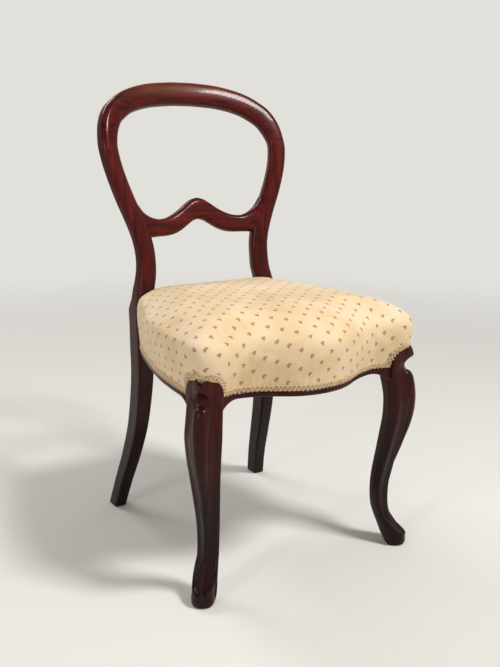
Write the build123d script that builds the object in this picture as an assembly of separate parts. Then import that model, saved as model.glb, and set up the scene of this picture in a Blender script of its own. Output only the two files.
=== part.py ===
from build123d import *
import math
import os

os.makedirs("parts", exist_ok=True)

# Balloon back dining chair. Millimetres, +Z up, the chair faces -Y, x = 0 is its mirror plane.
# The right half is drawn and mirrored.

# Seat frame
RAIL_BOTTOM = 342.0
RAIL_TOP = 410.0
RAIL_THICK = 28.0
BEAD_HEIGHT = 10.0          # show-wood bead left below the covering
REBATE = 5.5                # how far the rail face sits back above the bead
BRACKET_DROP = 30.0         # how far the rail ends sweep down the front legs
BRACKET_RUN = 32.0

# Front legs: s is measured outwards along the diagonal from the middle of the foot
BLOCK = 45.0                # square at the top of the leg
BLOCK_OUT = 222.0           # outer faces of that square, from the middle of the chair
FOOT_X = BLOCK_OUT - 14
EAR_BASE = 362.0
EAR_TOP = EAR_BASE + 27
EAR_ROLL = 11.0
NECK_S = 8.0                # the corner is scooped back to here between scroll and knee
NECK_Z = 355.5
NECK_R = 14.0
TOE_TIP = 23.0
TOE_TOP = 17.0
TOE_R = 20.0

# Back
BACK_THICK = 27.0
MID_RAIL_THICK = 24.0
DISH = 0.0008               # forward curve of the back to its sides: DISH * x * x
JOINT_Z = 728.0             # the crest rail meets the stiles here

# Seat
COVER_THICK = 1.6
EASE = 0.4                  # room left between the cover and what it wraps
COVER_FOOT = RAIL_BOTTOM + BEAD_HEIGHT
STUFFING_FOOT = 363.0
STILE_GAP = 0.6             # room left between the upholstery and a stile
REAR_SHARE = 0.35           # the seat swells this much less along its rear edge
COVER_INSET = 2.5           # foot of the cover behind the face of the bead
GIMP_HEIGHT = 13.0
GIMP_THICK = 2.2
WEB_WIDTH = 50.0
WEB_THICK = 1.6
WEB_LAP = 22.0              # webbing tacked down on the rail tops
HESSIAN_THICK = 1.0
CORE_EDGE = 3.0             # hessian stops this far inside the face of the rails

# Joints and fixings
FIT = 0.1                   # clearance all round a tenon, dowel or screw
TENON_THICK = 12.0
TENON_LEN = 25.0
CROSS_TENON_Z = (352.0, 377.0)      # front and rear rails
SIDE_TENON_Z = (381.0, 404.0)       # side rails, passing above them
MID_TENON_THICK = 9.0
MID_TENON_Z = (573.0, 593.0)
DOWEL_D = 8.0
DOWEL_LEN = 40.0
SCREW_D = 5.0
SCREW_HEAD_D = 10.0
SCREW_LEN = 60.0
REAR_SCREW_LEN = 40.0
CORNER_BLOCK_Z = (350.0, 378.0)

# Rear leg below the shoulder: z, x, y, width, depth
REAR_LEG = (
    (0, 171.5, 223.5, 24, 34),
    (57, 163.5, 206.5, 25, 35),
    (121, 155.5, 183, 26.5, 37.5),
    (183, 149.8, 163.5, 28, 40),
    (239, 146.5, 153.5, 30, 41),
    (293, 144, 148.5, 32, 41),
    (350, 142, 147.5, 33, 41),
    (400, 141, 147.5, 34, 40),
    (428, 140.3, 147.5, 37, 38),
)
# Stile above it: z, x, width, depth, front corner radius
UPRIGHT = (
    (446, 139, 38, 35, 8),
    (466, 136, 38, 31, 13),
    (488, 130.5, 38, 28.5, 15),
    (513, 128, 37, 27, 15),
    (540, 129, 37, 27, 15),
    (566, 134.5, 37.5, 27, 15),
    (600, 146.5, 38, 27, 15),
    (633, 160.5, 37, 27, 15),
    (665, 172.5, 35.5, 27, 15),
    (697, 182, 34.5, 27, 15),
    (JOINT_Z, 187, 34.5, 27, 15),
)
ROUND_STEPS = 3             # straight steps in a rounded corner of a section
OVAL_STEPS = 16
SHOULDER_Z = 428.0          # below this the leg is square to the chair
TURNED_Z = 513.0            # above this the stile is turned to the dish of the back
# Middle line of the back seen from the side: z, y
RAKE = ((446, 163), (466, 162.5), (488, 163.5), (513, 165), (540, 169), (566, 173), (600, 180),
        (633, 186.5), (665, 192.7), (697, 200), (728, 208), (765, 220), (800, 232.5), (840, 247),
        (870, 257))

# Crest rail, right joint to the middle: x, z, width
CREST = (
    (185.5, 746, 36),
    (180, 767, 39),
    (170.5, 785, 41),
    (157, 798, 42.5),
    (127, 815.5, 43.5),
    (81, 828, 44.5),
    (30, 833, 45),
)
# Mid rail, middle to the stile: x, z, height
MID_RAIL = (
    (0, 611.8, 42.5),
    (13, 608.5, 42.5),
    (27, 600.5, 42.5),
    (42, 591, 41),
    (58, 583.7, 38.5),
    (74, 579.6, 35),
    (91, 578.6, 33.5),
    (109, 582.5, 35),
    (121, 588, 41),
    (132, 596, 49),
)

# Front leg: z, middle s, half width, nose ahead of middle, nose half width, heel behind middle
LEG = (
    (346, -12, 31.8, 28.8, 3, 31.8),
    (328, -10, 32, 24, 9, 32),
    (308, -5.5, 32.8, 21, 12.5, 31),
    (286, -2.3, 33.5, 18.5, 15, 31),
    (253, -4.5, 31, 17.5, 13, 29),
    (219, -11, 27.3, 17, 9.5, 27),
    (184, -18.5, 24, 17, 6, 24),
    (150, -26, 21.3, 18, 3, 21.3),
    (121, -30.5, 19.6, 17, 2.5, 19),
    (95, -31, 19, 16.5, 2.5, 18.3),
    (74, -28.5, 19.5, 15.5, 3, 18.5),
    (55, -23, 20.6, 15, 4.5, 18),
    (40, -16.5, 21.8, 15, 6.5, 18.5),
    (25, -10, 22.8, 17, 8.5, 19),
    (12, -5, 22.5, 17, 9, 18),
    (0, -3, 19.5, 12, 8, 13),
)
# Raised lobe down the knee: z, front of the lobe in s, radius
LOBE = (
    (342, 8, 5),
    (338, 14, 10),
    (330, 19.5, 12.5),
    (314, 24.7, 13.5),
    (290, 27.4, 13.5),
    (265, 25.8, 12.5),
    (240, 20.6, 10.8),
    (213, 11.9, 8.5),
    (182, 1.6, 5.8),
    (152, -9.5, 3.4),
)

# The rails are drawn for leg faces 222 from the middle and follow the legs from there
FOLLOW = BLOCK_OUT / 222 - 1
# Outer face of the front rail, middle to leg: x, y
FRONT_FACE = tuple((x * (1 + FOLLOW), y * (1 + FOLLOW)) for x, y in (
    (0, -254), (35, -249.5), (62, -238.5), (85, -225), (110, -213), (138, -205.5), (160, -208.5),
    (184, -217)))
# Outer face of the side rail, front leg to rear leg: x, y; its rear end stays at the stile
SIDE_FACE = tuple((x * (1 + FOLLOW * (132 - y) / 316), y * (1 + FOLLOW * (132 - y) / 316)) for x, y in (
    (217, -184), (214, -140), (210.5, -97), (205.5, -58), (198.5, -20), (189.5, 22), (177.5, 75),
    (162, 132)))
CORNER = ((BLOCK_OUT - 19, 7.5 - BLOCK_OUT), (BLOCK_OUT - 7.5, 19 - BLOCK_OUT))
REAR_FACE_Y = 161.0
REAR_RAIL_Y = 148.0
REAR_RAIL_THICK = 26.0
STILE_FRONT_Y = 127.0
STILE_INNER_X = 125.5
MIDDLE_Y = -1.66            # the pieces are saved with this line at y = 0

# Swell of the seat: z, how far it stands out from its foot
SWELL = ((COVER_FOOT - 3, -0.6), (COVER_FOOT, 0), (366, 2.8), (384, 7.8), (404, 13), (418, 15),
         (430, 14.6), (441, 10), (450, -1), (459, -18), (468, -42), (476, -74), (483, -112),
         (488, -160))


def smooth(table, parts):
    """The table's rows with parts - 1 more between each two, on a smooth curve through them all."""
    out = []
    for i in range(len(table) - 1):
        before, a, b = table[max(0, i - 1)], table[i], table[i + 1]
        after = table[min(len(table) - 1, i + 2)]
        for step in range(parts):
            t = step / parts
            out.append(tuple(
                q + t * (r - p) / 2 + t * t * (2 * p - 5 * q + 4 * r - s) / 2
                + t ** 3 * (3 * q - p - 3 * r + s) / 2 for p, q, r, s in zip(before, a, b, after)))
    return out + [tuple(table[-1])]


def between(table, z):
    """Value of a (z, value) table at z, straight between its rows."""
    for (z0, v0), (z1, v1) in zip(table, table[1:]):
        if z <= z1:
            break
    return v0 + (v1 - v0) * (z - z0) / (z1 - z0)


SMOOTH_RAKE = smooth(RAKE, 4)


def back_y(x, z):
    """Middle surface of the back: raked with height, dished forward to the sides."""
    return between(SMOOTH_RAKE, z) - DISH * x * x


def flip(shape):
    return mirror(shape, about=Plane.YZ)


def across(shape):
    """The same shape on the other side of a right leg's diagonal."""
    return mirror(shape, about=Plane(origin=(0, 0, 0), z_dir=(1, 1, 0)))


def bevelled(points, cuts):
    """Closed face on the points, each corner cut off by its own amount along both sides."""
    ring = []
    for i, point in enumerate(points):
        p = Vector(*point)
        for other in (Vector(*points[i - 1]), Vector(*points[(i + 1) % len(points)])):
            ring.append(p + (other - p).normalized() * cuts[i])
    return make_face(Polyline(*ring, close=True))


def bar(w, d, front_r, rear_cut):
    """Section of a back member with its front at -Y, rounded in front and bevelled behind."""
    a, b, r, c = w / 2, d / 2, front_r, rear_cut
    right = [(a - r + r * math.sin(math.radians(t)), r - b - r * math.cos(math.radians(t)))
             for t in range(0, 91, 90 // ROUND_STEPS)]
    right += [(a, b - c), (a - c, b)]
    return make_face(Polyline(*right, *[(-x, y) for x, y in reversed(right)], close=True))


def oval(a, b):
    turns = [t * math.tau / OVAL_STEPS for t in range(OVAL_STEPS)]
    return make_face(Polyline(*[(a * math.cos(t), b * math.sin(t)) for t in turns], close=True))


def prism(points, z0, z1):
    return extrude(Plane.XY.offset(z0) * make_face(Polyline(*points, close=True)), z1 - z0)


def pin(x, y, z, way, radius, length):
    """Round pin starting at x, y, z and running along way."""
    return Plane(origin=(x, y, z), z_dir=way) * Cylinder(
        radius, length, align=(Align.CENTER, Align.CENTER, Align.MIN))


# ---- back ----

def upright_section(z, x, w, d, r):
    share = min(1.0, (z - SHOULDER_Z) / (TURNED_Z - SHOULDER_Z))
    turn = -math.degrees(math.atan(2 * DISH * x)) * share
    return Location((x, back_y(x, z), z), (0, 0, turn)) * bar(w, d, r, 5)


def stile_body():
    legs = [Location((x, y, z)) * bar(w, d, 3, 2.5) for z, x, y, w, d in smooth(REAR_LEG, 2)]
    return loft(legs + [upright_section(*row) for row in smooth(UPRIGHT, 2)], ruled=True)


def crest_section(x, z, w, slope_x, slope_z):
    """Section across the crest rail; slope_x, slope_z is the way it runs."""
    y = back_y(x, z)
    lean = back_y(x, z + 0.5) - back_y(x, z - 0.5)
    rear = Vector(2 * DISH * x, 1, -lean).normalized()
    along = Vector(slope_x, lean * slope_z - 2 * DISH * x * slope_x, slope_z).normalized()
    return Plane(origin=(x, y, z), x_dir=rear.cross(along), z_dir=along) * bar(w, BACK_THICK, 15, 5)


def crest_body():
    z, x, w, d, r = UPRIGHT[-1]
    half = [(x, z, w)] + list(CREST)
    rows = smooth(half + [(0, 833.6, 45)] + [(-x, z, w) for x, z, w in reversed(half)], 2)
    ends = upright_section(*UPRIGHT[-1])
    turn = math.degrees(math.atan(2 * DISH * x))
    last = Plane(origin=(-x, back_y(x, z), z), x_dir=Vector(-1, 0, 0).rotate(Axis.Z, turn),
                 z_dir=(0, 0, -1))
    middle = [crest_section(*row, after[0] - before[0], after[1] - before[1])
              for before, row, after in zip(rows, rows[1:], rows[2:])]
    return loft([ends] + middle + [last * bar(w, d, r, 5)], ruled=True)


def mid_rail_body():
    sections = []
    for x, z, h in smooth([(-x, z, h) for x, z, h in reversed(MID_RAIL[1:])] + list(MID_RAIL), 2):
        lean = (back_y(x, z + 5) - back_y(x, z - 5)) / 10
        plane = Plane(origin=(x, back_y(x, z), z), x_dir=Vector(0, lean, 1), z_dir=(-1, 0, 0))
        sections.append(plane * bar(h, MID_RAIL_THICK, 11, 4))
    return loft(sections, ruled=True)


# ---- front legs ----

def diagonal_plane(z):
    """Horizontal plane over the right foot, local x outwards along the diagonal."""
    return Plane(origin=(FOOT_X, -FOOT_X, z), x_dir=(1, -1, 0), z_dir=(0, 0, 1))


def leg_shaft():
    sections = []
    for z, mid, half, nose, nose_half, heel in smooth(LEG, 2):
        points = [(mid + nose, -nose_half), (mid + nose, nose_half), (mid, half), (mid - heel, 0),
                  (mid, -half)]
        sections.append(diagonal_plane(z) * bevelled(points, [0.6, 0.6, 3, 3.5, 3]))
    return loft(sections, ruled=True)


def ear_arch(grow):
    """Arched outline of one scrolled ear, seen square to the front of the right leg."""
    near, far, foot = BLOCK_OUT - BLOCK - grow, BLOCK_OUT, EAR_BASE - 20
    return Plane.XZ * make_face([
        Line((near, foot), (near, EAR_BASE)),
        Spline((near, EAR_BASE), (near + 5, EAR_BASE + 14), (near + 15, EAR_TOP - 4.5 + grow),
               (near + 28, EAR_TOP + grow), (far + grow, EAR_TOP - 5 + grow)),
        Line((far + grow, EAR_TOP - 5 + grow), (far + grow, foot)),
        Line((far + grow, foot), (near, foot)),
    ])


def ear():
    """Scrolled ear on the front face of the right leg block, mitred at the corner."""
    near, far = BLOCK_OUT - BLOCK, BLOCK_OUT
    foot = EAR_BASE - 20
    bend = EAR_ROLL * (1 - math.sqrt(0.5))
    rolled = Plane.YZ.offset(near) * make_face([
        Line((-far, foot), (-far, EAR_TOP - EAR_ROLL)),
        ThreePointArc((-far, EAR_TOP - EAR_ROLL), (bend - far, EAR_TOP - bend), (EAR_ROLL - far, EAR_TOP)),
        Line((EAR_ROLL - far, EAR_TOP), (22 - far, EAR_TOP)),
        Line((22 - far, EAR_TOP), (22 - far, foot)),
        Line((22 - far, foot), (-far, foot)),
    ])
    mitre = prism([(near, -far), (far, -far), (far - 25, 25 - far), (near, 25 - far)], foot,
                  EAR_TOP + 5)
    return extrude(rolled, BLOCK) & extrude(ear_arch(0), 300) & mitre


def leg_body():
    near, far = BLOCK_OUT - BLOCK, BLOCK_OUT
    block = prism([(near, -far), (far, -far), (far, -near), (near, -near)], LEG[0][0] - 1, EAR_BASE)
    stump = prism([(near, 10 - far), (far - 10, 10 - far), (far - 10, -near), (near, -near)],
                  EAR_BASE - 1, RAIL_TOP)
    front_ear = ear()
    top = block + stump + front_ear + across(front_ear)
    neck = diagonal_plane(NECK_Z) * Pos(NECK_S + NECK_R, 0) * Rot(90, 0, 0) * Cylinder(NECK_R, 80)
    toe = loft([diagonal_plane(z) * Pos(TOE_TIP - TOE_R, 0) * oval(TOE_R - cut, TOE_R - cut - 0.5)
                for z, cut in ((TOE_TOP - 13, 2), (TOE_TOP - 10, 0), (TOE_TOP - 4, 0), (TOE_TOP, 4))],
               ruled=True)
    lobe = loft([diagonal_plane(z) * Pos(front - r, 0) * oval(r, r) for z, front, r in smooth(LOBE, 2)],
                ruled=True)
    return leg_shaft() + (top - neck) + lobe + toe


# ---- seat frame ----

def beside(points, shift):
    """Points moved sideways by shift, to the left of the way they run."""
    out = []
    for i, (x, y) in enumerate(points):
        a, b = points[max(0, i - 1)], points[min(len(points) - 1, i + 1)]
        t = Vector(b[0] - a[0], b[1] - a[1]).normalized()
        out.append((x - t.Y * shift, y + t.X * shift))
    return out


def band(outer, inner, z0, z1):
    face = make_face([Spline(*outer), *Polyline(outer[-1], *reversed(inner), outer[0]).edges()])
    return extrude(Plane.XY.offset(z0) * face, z1 - z0)


def bracket_cut(start):
    """Space under a rail: level, then swept down as it nears the leg. start is the leg face."""
    level, run, drop = RAIL_BOTTOM, BRACKET_RUN, BRACKET_DROP
    c = math.sqrt(0.5)
    return make_face([
        Line((-300, level), (start - run, level)),
        ThreePointArc((start - run, level), (start - run + run * c, level - drop * (1 - c)),
                      (start, level - drop)),
        Line((start, level - drop), (start, 200)),
        Line((start, 200), (-300, 200)),
        Line((-300, 200), (-300, level)),
    ])


def rail(outer, corners):
    """Rail curved outside and sawn straight inside between the chosen points of its outer face."""
    inner = beside(outer, RAIL_THICK)
    inner = [inner[i] for i in corners]
    low = band(outer, inner, RAIL_BOTTOM - BRACKET_DROP - 4, RAIL_BOTTOM + BEAD_HEIGHT)
    high = band(beside(outer, REBATE), inner, RAIL_BOTTOM + BEAD_HEIGHT, RAIL_TOP)
    return low + high


def whole_front():
    return [(-x, y) for x, y in reversed(FRONT_FACE[1:])] + list(FRONT_FACE)


def front_rail_body():
    under = extrude(Plane.XZ * bracket_cut(BLOCK_OUT - BLOCK), 400)
    return rail(whole_front(), (0, 2, 5, 9, 12, 14)) - under - flip(under)


def side_rail_body():
    across_chair = Plane(origin=(400, 0, 0), x_dir=(0, -1, 0), z_dir=(-1, 0, 0))
    return rail(SIDE_FACE, (0, 4, 7)) - extrude(across_chair * bracket_cut(BLOCK_OUT - BLOCK), 400)


def rear_rail_body():
    half = REAR_RAIL_THICK / 2
    y0, y1 = REAR_RAIL_Y - half, REAR_RAIL_Y + half
    return prism([(-150, y0), (150, y0), (150, y1), (-150, y1)], RAIL_BOTTOM, RAIL_TOP)


def block(x0, x1, y0, y1, z0, z1, extra):
    """Box between those limits, grown all round by extra."""
    return Pos((x0 + x1) / 2, (y0 + y1) / 2, (z0 + z1) / 2) * Box(
        abs(x1 - x0) + 2 * extra, abs(y1 - y0) + 2 * extra, z1 - z0 + 2 * extra)


def tenons(extra):
    """Tenons of the right half: front rail, side rail at both ends, rear rail, mid rail."""
    near, half, root = BLOCK_OUT - BLOCK, TENON_THICK / 2, 4
    y, x = 30 - BLOCK_OUT, BLOCK_OUT - 23
    front = block(near - root, near + TENON_LEN, y - half, y + half, *CROSS_TENON_Z, extra)
    side = block(x - half, x + half, root - near, -near - TENON_LEN, *SIDE_TENON_Z, extra)
    back = block(146 - half, 146 + half, STILE_FRONT_Y - root, STILE_FRONT_Y + TENON_LEN,
                 *SIDE_TENON_Z, extra)
    rear = block(STILE_INNER_X - root, STILE_INNER_X + TENON_LEN - 3, REAR_RAIL_Y - half, REAR_RAIL_Y + half,
                 *CROSS_TENON_Z, extra)
    mid_half = MID_TENON_THICK / 2
    mid = block(117, 140, 164 - mid_half, 164 + mid_half, *MID_TENON_Z, extra)
    return front, side, back, rear, mid


def trimmed(shape, *others):
    """The main body left of shape once the others are cut from it."""
    for other in others:
        shape = shape - other
    return max(shape.solids(), key=lambda body: body.volume)


def corner_block_bodies():
    """Glue blocks of the right side, cut roughly: front, rear."""
    z0, z1 = CORNER_BLOCK_Z
    e = BLOCK_OUT
    front = prism([(e - 94, 32 - e), (e - 24, 32 - e), (e - 24, 110 - e), (e - 40, 110 - e),
                   (e - 94, 54 - e)], z0, z1)
    rear = prism([(92, 142), (150, 142), (154, 92), (143, 84), (92, 124)], z0, z1)
    return front, rear


def corner_screws(extra):
    """One screw through each right corner block into the leg behind it; extra makes their holes."""
    out = []
    z = sum(CORNER_BLOCK_Z) / 2
    for x, y, way, length in ((BLOCK_OUT - 67, 82 - BLOCK_OUT, (54, -56, 0), SCREW_LEN),
                              (117.5, 104, (40, 51, 0), REAR_SCREW_LEN)):
        way = Vector(*way).normalized()
        start = Vector(x, y, z) - way * 10 * extra
        shank = pin(x, y, z, way, SCREW_D / 2 + extra, length + extra)
        out.append(shank + pin(start.X, start.Y, z, way, SCREW_HEAD_D / 2 + extra, 3 + 10 * extra))
    return out


def crest_dowels(extra):
    """Dowels up from the right stile into the crest rail; extra makes them into their bores."""
    half, r = DOWEL_LEN / 2 + extra * 5, DOWEL_D / 2 + extra
    z, x = UPRIGHT[-1][:2]
    low, high = back_y(x, z - 20), back_y(x, z + 20)
    way = Vector(0, high - low, 40).normalized()
    out = []
    for side in (-8, 8):
        start = Vector(x + side, (low + high) / 2 - 2 * DISH * x * side, z) - way * half
        out.append(pin(start.X, start.Y, start.Z, way, r, 2 * half))
    return out


# ---- upholstery ----

def seat_outline():
    """Foot of the cover: all the way round, from the middle front by the right side."""
    front = beside(whole_front(), COVER_INSET)[len(FRONT_FACE) - 1:]
    side = beside(SIDE_FACE, COVER_INSET)
    rear = REAR_FACE_Y + COVER_THICK + 0.1
    right = front[:-1] + list(CORNER) + side[:-1] + [(159, 134), (150, 153), (133, rear)]
    return right + [(-x, y) for x, y in reversed(right[1:])]


def moved_out(points, moves):
    """Closed outline with each edge moved outwards by its own amount and still parallel to itself."""
    edges = []
    for p, q, move in zip(points, points[1:] + points[:1], moves):
        out = Vector(q[1] - p[1], p[0] - q[0]).normalized()
        edges.append((out.X, out.Y, out.X * p[0] + out.Y * p[1] + move))
    corners = []
    for (a, b, c), (d, e, f) in zip(edges[-1:] + edges, edges):
        det = a * e - b * d
        corners.append(((c * e - b * f) / det, (a * f - c * d) / det))
    return corners


def outline_at(swell, shift):
    """Seat outline moved out by swell, or shrunk about its middle when swell is below -1; then by shift."""
    base = seat_outline()
    if swell < -0.9:
        k = 1 + (swell + shift) / 213
        return [(x * k, k * (y + 40) - 40) for x, y in base]
    ends = zip(base, base[1:] + base[:1])
    return moved_out(base, [swell * (REAR_SHARE if min(p[1], q[1]) > 140 else 1) + shift
                            for p, q in ends])


def dome(table, shift):
    """Solid of flat panels through the swell table; shift sets every layer in (negative) or out."""
    rings = []
    for z, swell in table:
        level = z + (shift if z > 445 else 0)
        rings.append([Vector(x, y, level) for x, y in outline_at(swell, shift)])
    panels = [make_face(Polyline(*ring, close=True)) for ring in (rings[0], rings[-1])]
    for low, high in zip(rings, rings[1:]):
        panels += [make_face(Polyline(low[i - 1], low[i], high[i], high[i - 1], close=True))
                   for i in range(len(low))]
    return Solid(Shell(panels))


def shell_between(outer, inner):
    """Closed skin between two domes that stand on the same level."""
    foot_out, *rest_out = outer.faces().sort_by(Axis.Z)
    foot_in, *rest_in = inner.faces().sort_by(Axis.Z)
    return Solid(Shell([*rest_out, *rest_in, *(foot_out - foot_in).faces()]))


def stile_space():
    """Everything beside and behind the right stile's front, out of the upholstery's way."""
    rows = [(z, x, y, w, d) for z, x, y, w, d in REAR_LEG if z > 340]
    rows += [(z, x, back_y(x, z), w, d) for z, x, w, d, r in UPRIGHT[:4]]
    rows.insert(0, (RAIL_BOTTOM - 10,) + rows[0][1:])
    layers = []
    for z, x, y, w, d in rows:
        x0, y0 = x - w / 2 - STILE_GAP, y - d / 2 - STILE_GAP
        layers.append(Plane.XY.offset(z) * make_face(
            Polyline((x0, y0), (260, y0), (260, 260), (x0, 260), close=True)))
    return loft(layers, ruled=True)


def webbing():
    """Straps laid over and under one another: four front to back, then four side to side."""
    lengthways, crossways = (-98, -33, 33, 98), (-140, -70, 0, 70)
    low, high = RAIL_TOP, RAIL_TOP + WEB_THICK
    out = []
    for i, x in enumerate(lengthways):
        y0 = between(FRONT_FACE, abs(x) + WEB_WIDTH / 2) + REBATE + CORE_EDGE + 2
        line = [(y0, low)]
        for j, y in enumerate(crossways):
            level = high if (i + j) % 2 else low
            line += [(y - 27, level), (y + 27, level)]
        line += [(REAR_RAIL_Y - 10, low), (REAR_RAIL_Y + 8, low)]
        out.append(strap(line, Plane.YZ.offset(x - WEB_WIDTH / 2)))
    for j, y in enumerate(crossways):
        reach = between([(q, p) for p, q in SIDE_FACE], y) - RAIL_THICK + WEB_LAP - 4
        line = [(-reach, low)]
        for i, x in enumerate(lengthways):
            level = low if (i + j) % 2 else high
            line += [(x - 27, level), (x + 27, level)]
        line += [(reach, low)]
        out.append(strap(line, Plane(origin=(0, y - WEB_WIDTH / 2, 0), x_dir=(1, 0, 0),
                                     z_dir=(0, -1, 0))))
    return out


def strap(line, plane):
    top = [(p, z + WEB_THICK) for p, z in reversed(line)]
    width = WEB_WIDTH if plane.z_dir.X > 0.5 else -WEB_WIDTH
    return extrude(plane * make_face(Polyline(*line, *top, close=True)), width)


def gimp_ways():
    """Where the braid runs: level round the foot of the cover, and up over each ear."""
    z0, z1 = COVER_FOOT, COVER_FOOT + GIMP_HEIGHT
    level = Pos(0, 0, (z0 + z1) / 2) * Box(600, 700, z1 - z0)
    arch = extrude(ear_arch(GIMP_HEIGHT - 2) - ear_arch(0), 300)
    arch = arch & prism([(120, -300), (300, -300), (180, -180), (120, -180)], z0, 430)
    return level + arch + across(arch) + flip(arch) + flip(across(arch))


def upholstery(legs, rails):
    """Cover, stuffing, hessian, braid round the front and sides, braid at the rear."""
    outer = dome(SWELL, 0)
    inset = REBATE + CORE_EDGE
    edge = beside(whole_front(), inset)[len(FRONT_FACE) - 1:-1]
    edge += [(BLOCK_OUT - 24, 19 - BLOCK_OUT), (BLOCK_OUT - 19, 24 - BLOCK_OUT)]
    edge += beside(SIDE_FACE, inset)[:-1] + [(150, REAR_FACE_Y - CORE_EDGE), (0, REAR_FACE_Y - CORE_EDGE)]
    core = make_face(Polyline(*edge, *[(-x, y) for x, y in reversed(edge[1:-1])], close=True))
    hessian_z = RAIL_TOP + 2 * WEB_THICK
    stuffing_z = hessian_z + HESSIAN_THICK
    below = Pos(0, 0, COVER_FOOT - 10) * Box(600, 700, 20)
    low = Pos(0, 0, STUFFING_FOOT - 20) * Box(600, 700, 40)
    away = [*legs, stile_space(), flip(stile_space())]

    cover = trimmed(shell_between(outer, dome(SWELL, -COVER_THICK)), below, *away)
    stuffing = dome(SWELL, -COVER_THICK - EASE) - low
    stuffing = trimmed(stuffing - extrude(Plane.XY.offset(300) * core, stuffing_z - 300), *away, *rails)
    hessian = trimmed(extrude(Plane.XY.offset(hessian_z) * core, HESSIAN_THICK), *away)
    braid = (dome(SWELL[:6], GIMP_THICK) - outer) & gimp_ways()
    for other in away:
        braid = braid - other
    front, rear = sorted(braid.solids(), key=lambda body: -body.volume)[:2]
    return cover, stuffing, hessian, front, rear


def solids(shapes):
    return Compound(children=[s for shape in shapes for s in shape.solids()])


def save(name, shape):
    export_step(Pos(0, -MIDDLE_Y, 0) * shape, f"parts/{name}.step")


def main():
    leg_r, stile_r = leg_body(), stile_body()
    crest, mid = crest_body(), mid_rail_body()
    front, side_r, rear = front_rail_body(), side_rail_body(), rear_rail_body()
    leg_l, stile_l = flip(leg_r), flip(stile_r)
    mid = trimmed(mid, stile_r, stile_l)
    front = trimmed(front, leg_r, leg_l)
    side_r = trimmed(side_r, leg_r, stile_r)
    rear = trimmed(rear, stile_r, stile_l)
    loose, snug = tenons(FIT), tenons(0)
    leg_r = leg_r - loose[0] - loose[1]
    stile_r = stile_r - loose[2] - loose[3] - loose[4]
    front = front + snug[0] + flip(snug[0])
    side_r = side_r + snug[1] + snug[2]
    rear = rear + snug[3] + flip(snug[3])
    mid = mid + snug[4] + flip(snug[4])
    for bore in crest_dowels(FIT):
        stile_r, crest = stile_r - bore, crest - bore - flip(bore)
    block_front, block_rear = corner_block_bodies()
    block_front = trimmed(block_front, front, side_r, leg_r)
    block_rear = trimmed(block_rear, rear, side_r, stile_r)
    front_hole, rear_hole = corner_screws(FIT)
    block_front, leg_r = block_front - front_hole, leg_r - front_hole
    block_rear, stile_r = block_rear - rear_hole, stile_r - rear_hole
    side_r = side_r - front_hole - rear_hole

    woods = [leg_r, flip(leg_r)], [front, side_r, flip(side_r), rear]
    cover, stuffing, hessian, gimp_front, gimp_rear = upholstery(*woods)

    save("right_stile", stile_r)
    save("left_stile", flip(stile_r))
    save("crest_rail", crest)
    save("mid_rail", mid)
    save("front_right_leg", leg_r)
    save("front_left_leg", flip(leg_r))
    save("front_rail", front)
    save("right_rail", side_r)
    save("left_rail", flip(side_r))
    save("rear_rail", rear)
    save("front_right_block", block_front)
    save("front_left_block", flip(block_front))
    save("rear_right_block", block_rear)
    save("rear_left_block", flip(block_rear))
    pins = crest_dowels(0)
    save("crest_dowels", solids(pins + [flip(p) for p in pins]))
    pins = corner_screws(0)
    save("block_screws", solids(pins + [flip(p) for p in pins]))
    for i, one in enumerate(webbing()):
        save(f"webbing_{'long' if i < 4 else 'cross'}_{i % 4 + 1}", one)
    save("hessian", hessian)
    save("stuffing", stuffing)
    save("seat_cover", cover)
    save("gimp_front", gimp_front)
    save("gimp_rear", gimp_rear)


if __name__ == "__main__":
    main()
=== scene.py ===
import math

import bmesh
import bpy
from bpy.props import FloatProperty, FloatVectorProperty, IntProperty, PointerProperty
from mathutils import Matrix, Vector
from mathutils.bvhtree import BVHTree


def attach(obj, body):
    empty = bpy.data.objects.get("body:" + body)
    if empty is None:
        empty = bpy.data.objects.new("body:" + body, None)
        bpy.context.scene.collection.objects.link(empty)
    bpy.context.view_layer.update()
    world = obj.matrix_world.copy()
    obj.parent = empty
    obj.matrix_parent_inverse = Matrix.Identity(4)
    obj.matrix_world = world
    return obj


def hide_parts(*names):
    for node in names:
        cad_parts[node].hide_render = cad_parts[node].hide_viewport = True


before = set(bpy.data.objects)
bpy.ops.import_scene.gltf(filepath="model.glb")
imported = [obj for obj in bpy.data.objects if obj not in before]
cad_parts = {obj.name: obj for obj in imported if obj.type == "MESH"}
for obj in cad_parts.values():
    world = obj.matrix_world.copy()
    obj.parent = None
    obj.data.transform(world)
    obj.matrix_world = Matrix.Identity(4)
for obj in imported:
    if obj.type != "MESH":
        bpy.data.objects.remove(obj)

bl_info = {
    "name": "Balloon back chair",
    "version": (1, 0, 0),
    "blender": (4, 5, 0),
    "location": "3D View > Sidebar > Chair",
    "description": "Builds the polished frame, stuffed seat and braid of a balloon back dining chair",
    "category": "Mesh",
}

# Pieces are drawn in millimetres, +Z up, facing -Y, on the mirror plane x = 0, then brought to
# metres. The drawing's line y = MIDDLE_Y is the middle of the chair's depth.
MM = 0.001
MIDDLE_Y = -1.66
TO_FRAME = Matrix.Scale(MM, 4) @ Matrix.Translation((0, -MIDDLE_Y, 0))
TO_DRAWING = Matrix.Translation((0, MIDDLE_Y, 0)) @ Matrix.Scale(1 / MM, 4)
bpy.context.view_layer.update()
WAVE_LENGTH = math.pi / 10  # of a wave texture at scale 1

# ---- sizes shared with the frame ----

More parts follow.
